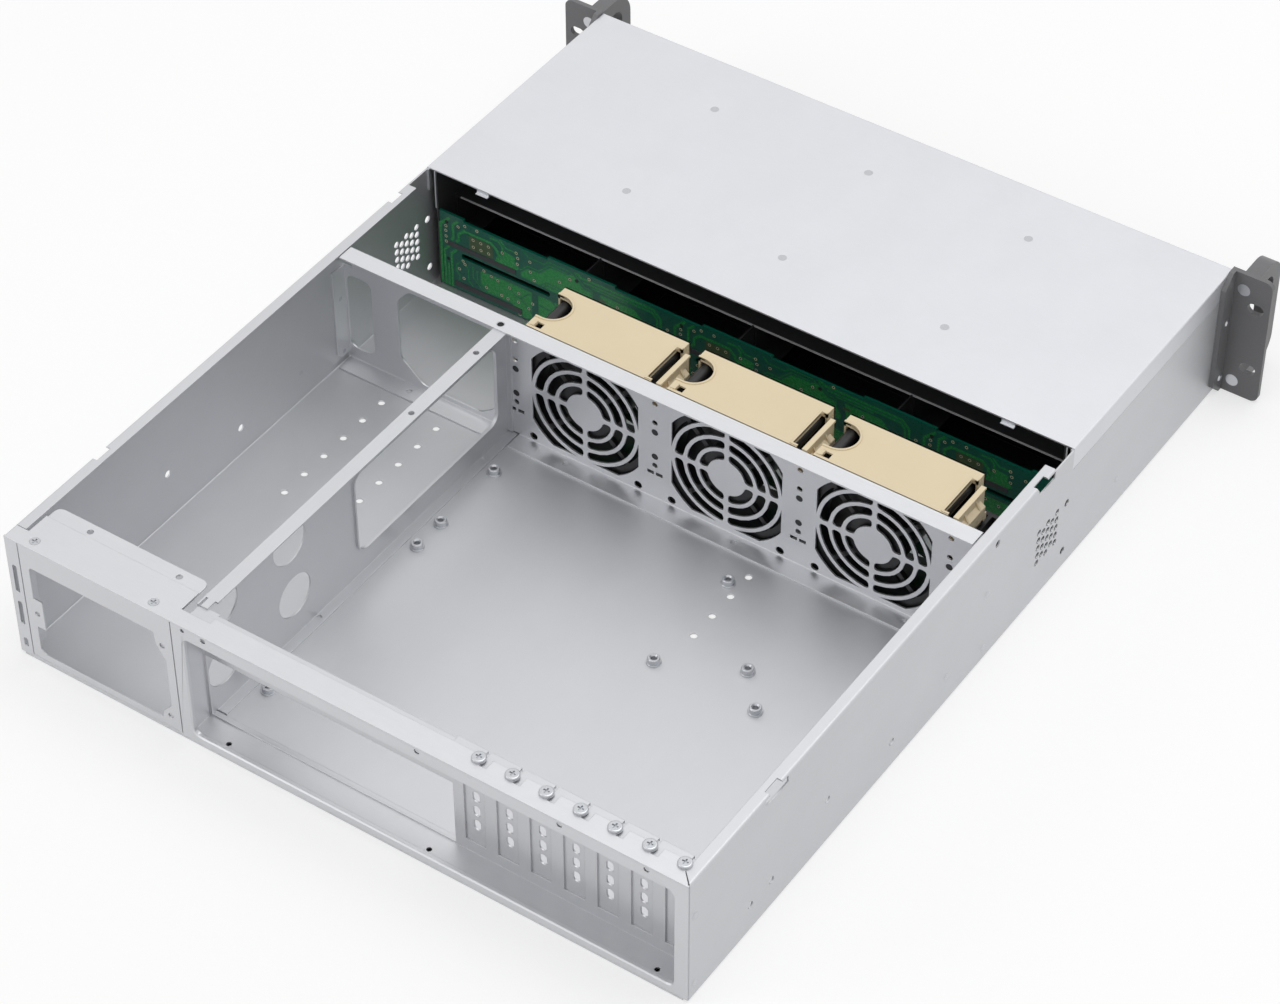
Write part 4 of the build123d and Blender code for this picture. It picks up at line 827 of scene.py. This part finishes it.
class SERVERCASE_OT_rear_panel(bpy.types.Operator):
    """Builds the rear face with its flange and collar, the power supply plate and its screws"""

    bl_idname = "servercase.rear_panel"
    bl_label = "Rear panel"

    def execute(self, context):
        colours = context.scene.case_colours
        steel = galvanised_sheet("galvanised_steel_rear", colours.rear, 0.4, ROLLED_ACROSS)
        zinc = zinc_plate("zinc_plated_steel_cross", colours.screws)
        panel = rear_panel_shape().make("rear_panel_folded", steel, slot="galvanised_steel")
        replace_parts(panel, "rear_panel")
        plate = psu_plate_shape().make("psu_plate_folded", steel, slot="galvanised_steel")
        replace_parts(plate, "psu_bracket")
        screws = psu_screws_shape().make("psu_cross_screws", zinc, slot="zinc_screws")
        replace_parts(screws, "psu_screws")
        return {"FINISHED"}


def housing_shape(left, right):
    """A fan module's hood: roof, side walls, end frames, rims of its cut-outs and latch lugs.

    A round notch opens its left edge, and a slot for the latch its right edge.
    """
    front, rear, top = MODULE_FRONT, MODULE_REAR, MODULE_TOP
    notch = (left - 4.2, front + 18.2)
    notch_round = 10.7
    foot = 1.5
    slot_front, slot_rear = front + 7.9, rear - 2.8
    hood = Shape()
    notch_low, notch_high = notch[1] - notch_round, notch[1] + notch_round
    roof = [(right, front), (left, front), (left, notch_low)]
    roof += arc(*notch, notch_round, 270, 90, 24)
    roof += [(left, notch_high), (left, rear), (right, rear)]
    roof += [(right, slot_rear)] + eased((right + 1.9, slot_rear), (right + 3.4, slot_rear),
                                         (right + 3.4, slot_rear - 1.5))
    roof += eased((right + 3.4, slot_front + 1.5), (right + 3.4, slot_front),
                  (right + 1.9, slot_front))
    roof += [(right, slot_front)]
    key = between((left - 8.8, slot_rear - 4.4), (left - 4.4, slot_rear))
    hood.plate([roof, key], top - 1.2, top, lying)
    rim = [(left, notch[1] - 11.9)] + arc(*notch, 11.9, 270, 90, 24) + [(left, notch[1] + 11.9)]
    rim += [(left, notch_high)] + arc(*notch, notch_round, 90, 270, 24) + [(left, notch_low)]
    hood.plate([rim], top - 2.7, top + 0.6, lying)
    rim = [(right, slot_rear + 1.2), (right + 4.6, slot_rear + 1.2),
           (right + 4.6, slot_front - 1.2), (right, slot_front - 1.2), (right, slot_front),
           (right + 3.4, slot_front), (right + 3.4, slot_rear), (right, slot_rear)]
    hood.plate([rim], top - 2.7, top + 0.6, lying)
    wedge = [(left, top), (left - 4.4, top), (left - 4.4, top + 0.9)]
    hood.plate([wedge], slot_rear - 4.4, slot_rear, facing_rear)
    for x, open_from, open_to in ((left - 1.2, notch_low, notch_high),
                                  (right, slot_front, slot_rear)):
        side = [(front, foot), (rear, foot), (rear, top - 1.2), (open_to, top - 1.2),
                (open_to, top - 16), (open_from, top - 16), (open_from, top - 1.2),
                (front, top - 1.2)]
        hood.plate([side], x, x + 1.2, facing_side)
    frame_outline = [(right, foot), (right + 3.4, foot), (right + 3.4, top - 4.5),
                     (left - 2.4, top - 4.5), (left - 2.4, foot), (left, foot), (left, top),
                     (right, top)]
    for y in (front, rear - 1.0):
        hood.plate([frame_outline], y, y + 1.0, facing_rear)
    lug = between((right - 4.8, PIVOT - 2.5), (right, PIVOT + 2.5))
    for y in (MODULE_MIDDLE - 15.5, MODULE_MIDDLE + 12.5):
        hood.plate([lug, round_outline(right - 2.6, PIVOT, 1.55)], y, y + 3.0, facing_rear)
    return hood


def latch_shape(right):
    """A fan module's thumb latch: a lipped plate on a stepped base, and its pivot."""
    pin = right - 2.6
    near, far, outer = right - 3.1, right - 5.3, right - 8.5
    y0 = MODULE_FRONT + 9.2
    y1 = y0 + 29.3
    knee = PIVOT + 6.0
    latch = Shape()
    plate = [(near, knee), (near, MODULE_TOP), (far - 0.9, MODULE_TOP),
             (far - 0.9, MODULE_TOP - 1.5), (far, MODULE_TOP - 1.5), (far, knee)]
    latch.plate([plate], y0, y1, facing_rear)
    stem = [(pin - 0.9, PIVOT), (far, knee), (near, knee), (pin + 0.9, PIVOT)]
    latch.plate([stem], y0, MODULE_MIDDLE + 12.2, facing_rear)
    base = [(far, knee + 0.5), (outer, knee + 2.5), (outer, knee + 9.0), (far, knee + 11.5)]
    latch.plate([base], y0 + 4.0, y1 - 4.0, facing_rear)
    gusset = [(far, MODULE_TOP - 4.0), (outer, knee + 9.0), (far, knee + 9.0)]
    for y in (y0 + 8.0, y1 - 9.2):
        latch.plate([gusset], y, y + 1.2, facing_rear)
    latch.plate([round_outline(pin, PIVOT, 1.5, 16)], MODULE_MIDDLE - 15.2, MODULE_MIDDLE + 15.2,
                facing_rear)
    latch.plate([round_outline(pin, PIVOT, 2.2, 20)], MODULE_MIDDLE - 12.2, MODULE_MIDDLE + 12.2,
                facing_rear)
    return latch


def on_board(points):
    """The points on every repeat of the board's pattern where all of them fit."""
    copies = []
    for repeat in range(3):
        moved = [(x - repeat * REPEAT, z) for x, z in points]
        if min(x for x, z in moved) > BOARD_LOW.x + 1.5:
            copies.append(moved)
    return copies


class SERVERCASE_OT_backplane(bpy.types.Operator):
    """Gives the backplane its lacquer, copper, vias, dark discs of painted shade for its via and
    screw holes, and insulating strips
    """

    bl_idname = "servercase.backplane"
    bl_label = "Backplane"

    def execute(self, context):
        colours = context.scene.case_colours
        mask = solder_mask("green_solder_mask", colours.mask)
        copper = solder_mask("green_mask_over_copper", colours.tracks, 0.26)
        tin = solder_mask("tinned_copper", linear("#DCDBB4"))
        # Near-black discs are painted shade in the holes of the vias and screws, not a colour of
        # the board
        bore_shade_finish = moulded_plastic("painted_shade_in_bores", linear("#0A0D0C"), 0.6)
        strip = moulded_plastic("insulating_film_grey", linear("#47484A"), 0.5)
        dress(["backplane"], mask)
        sunk = BOARD_FACE - SUNK
        pours, clearance, tracks, vias, bore_shade_discs, pads, strips = (Shape() for _ in range(7))
        for outline in POURS:
            for moved in on_board(outline):
                pours.prism(moved, sunk, BOARD_FACE + 0.02)
        for width, points in CLEARANCE_RUNS:
            for moved in on_board(points):
                clearance.prism(run_outline(moved, width), sunk, BOARD_FACE + 0.03)
        for width, points in TRACKS:
            for moved in on_board(points):
                clearance.prism(run_outline(moved, width + 1.0), sunk, BOARD_FACE + 0.03)
                tracks.prism(run_outline(moved, width), sunk, BOARD_FACE + 0.04)
        for place in VIAS:
            for ((x, z),) in on_board([place]):
                clearance.prism(round_outline(x, z, 1.45), sunk, BOARD_FACE + 0.03)
                vias.ring(x, z, 1.05, 0.6, sunk, BOARD_FACE + 0.07)
                bore_shade_discs.prism(round_outline(x, z, 0.62), sunk, BOARD_FACE + 0.05)
        for place in SCREW_HOLES:
            for ((x, z),) in on_board([place]):
                bore_shade_discs.prism(round_outline(x, z, 1.3), sunk, BOARD_FACE + 0.06)
        for corners in PADS:
            for moved in on_board(corners):
                pads.prism(between(*moved), sunk, BOARD_FACE + 0.045)
        for corners in STRIPS:
            for moved in on_board(corners):
                strips.prism(between(*moved), sunk, BOARD_FACE + 0.25)
        pours.make("backplane_pours", copper, slot="green_board")
        clearance.make("backplane_clearance", mask, slot="green_board")
        tracks.make("backplane_tracks", copper, slot="green_board")
        vias.make("backplane_vias", tin)
        bore_shade_discs.make("backplane_bore_shade", bore_shade_finish)
        pads.make("backplane_pads", solder_mask("olive_mask_over_pads", linear("#4C6340")))
        strips.make("backplane_strips", strip)
        return {"FINISHED"}


class SERVERCASE_OT_cage_edges(bpy.types.Operator):
    """Adds the cut edges of the drive cage's black sheets as pale lines, partly their bare steel
    and partly a painted highlight along each edge
    """

    bl_idname = "servercase.cage_edges"
    bl_label = "Cut edges of the cage"

    def execute(self, context):
        # Pale matt grey: partly the bare steel of the cut, partly a painted highlight where the
        # edges catch the light
        bare_edge_and_highlight = powder_coat("bare_cut_edge_and_painted_highlight", linear("#D6D7DA"), 0.4)
        edges = Shape()
        edges.block((-204.5, ROOF_REAR - 0.5, CAGE_ROOF - 0.92),
                    (204.5, ROOF_REAR + 0.1, CAGE_ROOF + 0.1))
        for x in DIVIDERS:
            edges.block((x - 0.4, ROOF_REAR + 0.3, CAGE_ROOF - 1.4),
                        (x + 0.4, BOARD_LOW.y - 0.3, CAGE_ROOF - 0.9))
        for side in (-1, 1):
            edges.block((side * CAGE_SIDE - 0.4, BOARD_FACE - 0.3, CAGE_ROOF + 0.5),
                        (side * CAGE_SIDE + 0.4, BOARD_FACE + 0.14, 84.5))
        edges.make("cage_cut_edges_and_painted_highlights", bare_edge_and_highlight)
        return {"FINISHED"}


def area_lamp(name, place, target, size, power):
    """Adds a square softbox that points at a place, both in metres."""
    lamp = bpy.data.lights.new(name, "AREA")
    lamp.energy = power
    lamp.size = size
    holder = bpy.data.objects.new(name, lamp)
    bpy.context.scene.collection.objects.link(holder)
    holder.location = place
    holder.rotation_euler = (Vector(target) - Vector(place)).to_track_quat("-Z", "Y").to_euler()


def seen_directly(tree):
    """1 for camera, glossy and transmission rays, which see the plain background."""
    path = add(tree, "LightPath")
    first = add(tree, "Math", {0: path.outputs["Is Camera Ray"], 1: path.outputs["Is Glossy Ray"]},
                operation="MAXIMUM")
    return add(tree, "Math", {0: first.outputs[0], 1: path.outputs["Is Transmission Ray"]},
               operation="MAXIMUM").outputs[0]


class SERVERCASE_OT_stage(bpy.types.Operator):
    """Sets the camera, the floor, the world and the softboxes"""

    bl_idname = "servercase.stage"
    bl_label = "Studio"

    def execute(self, context):
        scene = context.scene
        studio = scene.case_studio
        scene.view_settings.view_transform = "Standard"
        camera = bpy.data.cameras.new("camera")
        camera.lens = studio.lens
        camera.sensor_width = 36.0
        camera.sensor_fit = "HORIZONTAL"
        camera.clip_end = 20.0
        holder = bpy.data.objects.new("camera", camera)
        scene.collection.objects.link(holder)
        right = Vector((-0.826619, -0.562756, -0.002542))
        up = Vector((0.386307, -0.570709, 0.724609))
        back = Vector((-0.409229, 0.597993, 0.689156))
        turned = Matrix((right, up, back)).transposed().to_4x4()
        holder.matrix_world = Matrix.Translation((-0.87333, 1.27705, 1.47973)) @ turned
        scene.camera = holder

        floor_mesh = bpy.data.meshes.new("studio_floor")
        reach = 6.0
        level = -0.0003
        floor_mesh.from_pydata([(x, y, level) for x, y in between((-reach, -reach),
                                                                  (reach, reach))],
                               [], [(0, 1, 2, 3)])
        floor = bpy.data.objects.new("studio_floor", floor_mesh)
        scene.collection.objects.link(floor)
        # Matt paper under the lamps, lifted to white only where it is seen directly
        paper, tree, output = new_material("white_paper_sweep")
        matt = add(tree, "BsdfDiffuse", {"Color": (0.5, 0.5, 0.5, 1.0)})
        glow = add(tree, "Emission", {"Color": (1.0, 1.0, 1.0, 1.0), "Strength": 0.57})
        lift = add(tree, "MixShader", {0: seen_directly(tree)})
        nothing = add(tree, "Emission", {"Strength": 0.0})
        tree.links.new(nothing.outputs[0], lift.inputs[1])
        tree.links.new(glow.outputs[0], lift.inputs[2])
        both = add(tree, "AddShader", {0: matt.outputs[0], 1: lift.outputs[0]})
        tree.links.new(both.outputs[0], output.inputs[0])
        floor_mesh.materials.append(paper)

        world = bpy.data.worlds.new("studio")
        world.use_nodes = True
        scene.world = world
        tree = world.node_tree
        tree.nodes.clear()
        strength = add(tree, "MapRange", {"Value": seen_directly(tree), "To Min": studio.ambient,
                                          "To Max": 1.0})
        sky = add(tree, "Background", {"Color": (1.0, 1.0, 1.0, 1.0),
                                       "Strength": strength.outputs[0]})
        tree.links.new(sky.outputs[0], add(tree, "OutputWorld").inputs[0])

        area_lamp("overhead_softbox", (-0.35, -0.35, 2.2), (0.0, 0.0, 0.0), 1.8, studio.overhead)
        area_lamp("side_softbox", (1.7, 1.9, 1.3), (0.0, 0.0, 0.0), 1.2, studio.side)
        return {"FINISHED"}


OPERATORS = (SERVERCASE_OT_sheet_metal, SERVERCASE_OT_fasteners, SERVERCASE_OT_fans,
             SERVERCASE_OT_drive_bays, SERVERCASE_OT_rack_ears, SERVERCASE_OT_fan_wall,
             SERVERCASE_OT_rear_panel, SERVERCASE_OT_backplane, SERVERCASE_OT_cage_edges,
             SERVERCASE_OT_stage)


class SERVERCASE_PT_panel(bpy.types.Panel):
    """Lists the pieces and the settings"""

    bl_idname = "SERVERCASE_PT_panel"
    bl_label = "Server case"
    bl_space_type = "VIEW_3D"
    bl_region_type = "UI"
    bl_category = "Server case"

    def draw(self, context):
        for group in (context.scene.case_colours, context.scene.case_studio):
            column = self.layout.column(align=True)
            for name in group.__annotations__:
                column.prop(group, name)
        for operator in OPERATORS:
            self.layout.operator(operator.bl_idname)


CLASSES = (CaseColours, CaseStudio, *OPERATORS, SERVERCASE_PT_panel)


def register():
    for item in CLASSES:
        bpy.utils.register_class(item)
    bpy.types.Scene.case_colours = bpy.props.PointerProperty(type=CaseColours)
    bpy.types.Scene.case_studio = bpy.props.PointerProperty(type=CaseStudio)


def unregister():
    del bpy.types.Scene.case_studio
    del bpy.types.Scene.case_colours
    for item in reversed(CLASSES):
        bpy.utils.unregister_class(item)


def main():
    register()
    bpy.ops.servercase.sheet_metal()
    bpy.ops.servercase.fasteners()
    bpy.ops.servercase.fans()
    bpy.ops.servercase.drive_bays()
    bpy.ops.servercase.rack_ears()
    bpy.ops.servercase.fan_wall()
    bpy.ops.servercase.rear_panel()
    bpy.ops.servercase.backplane()
    bpy.ops.servercase.cage_edges()
    bpy.ops.servercase.stage()


if __name__ == "__main__":
    main()
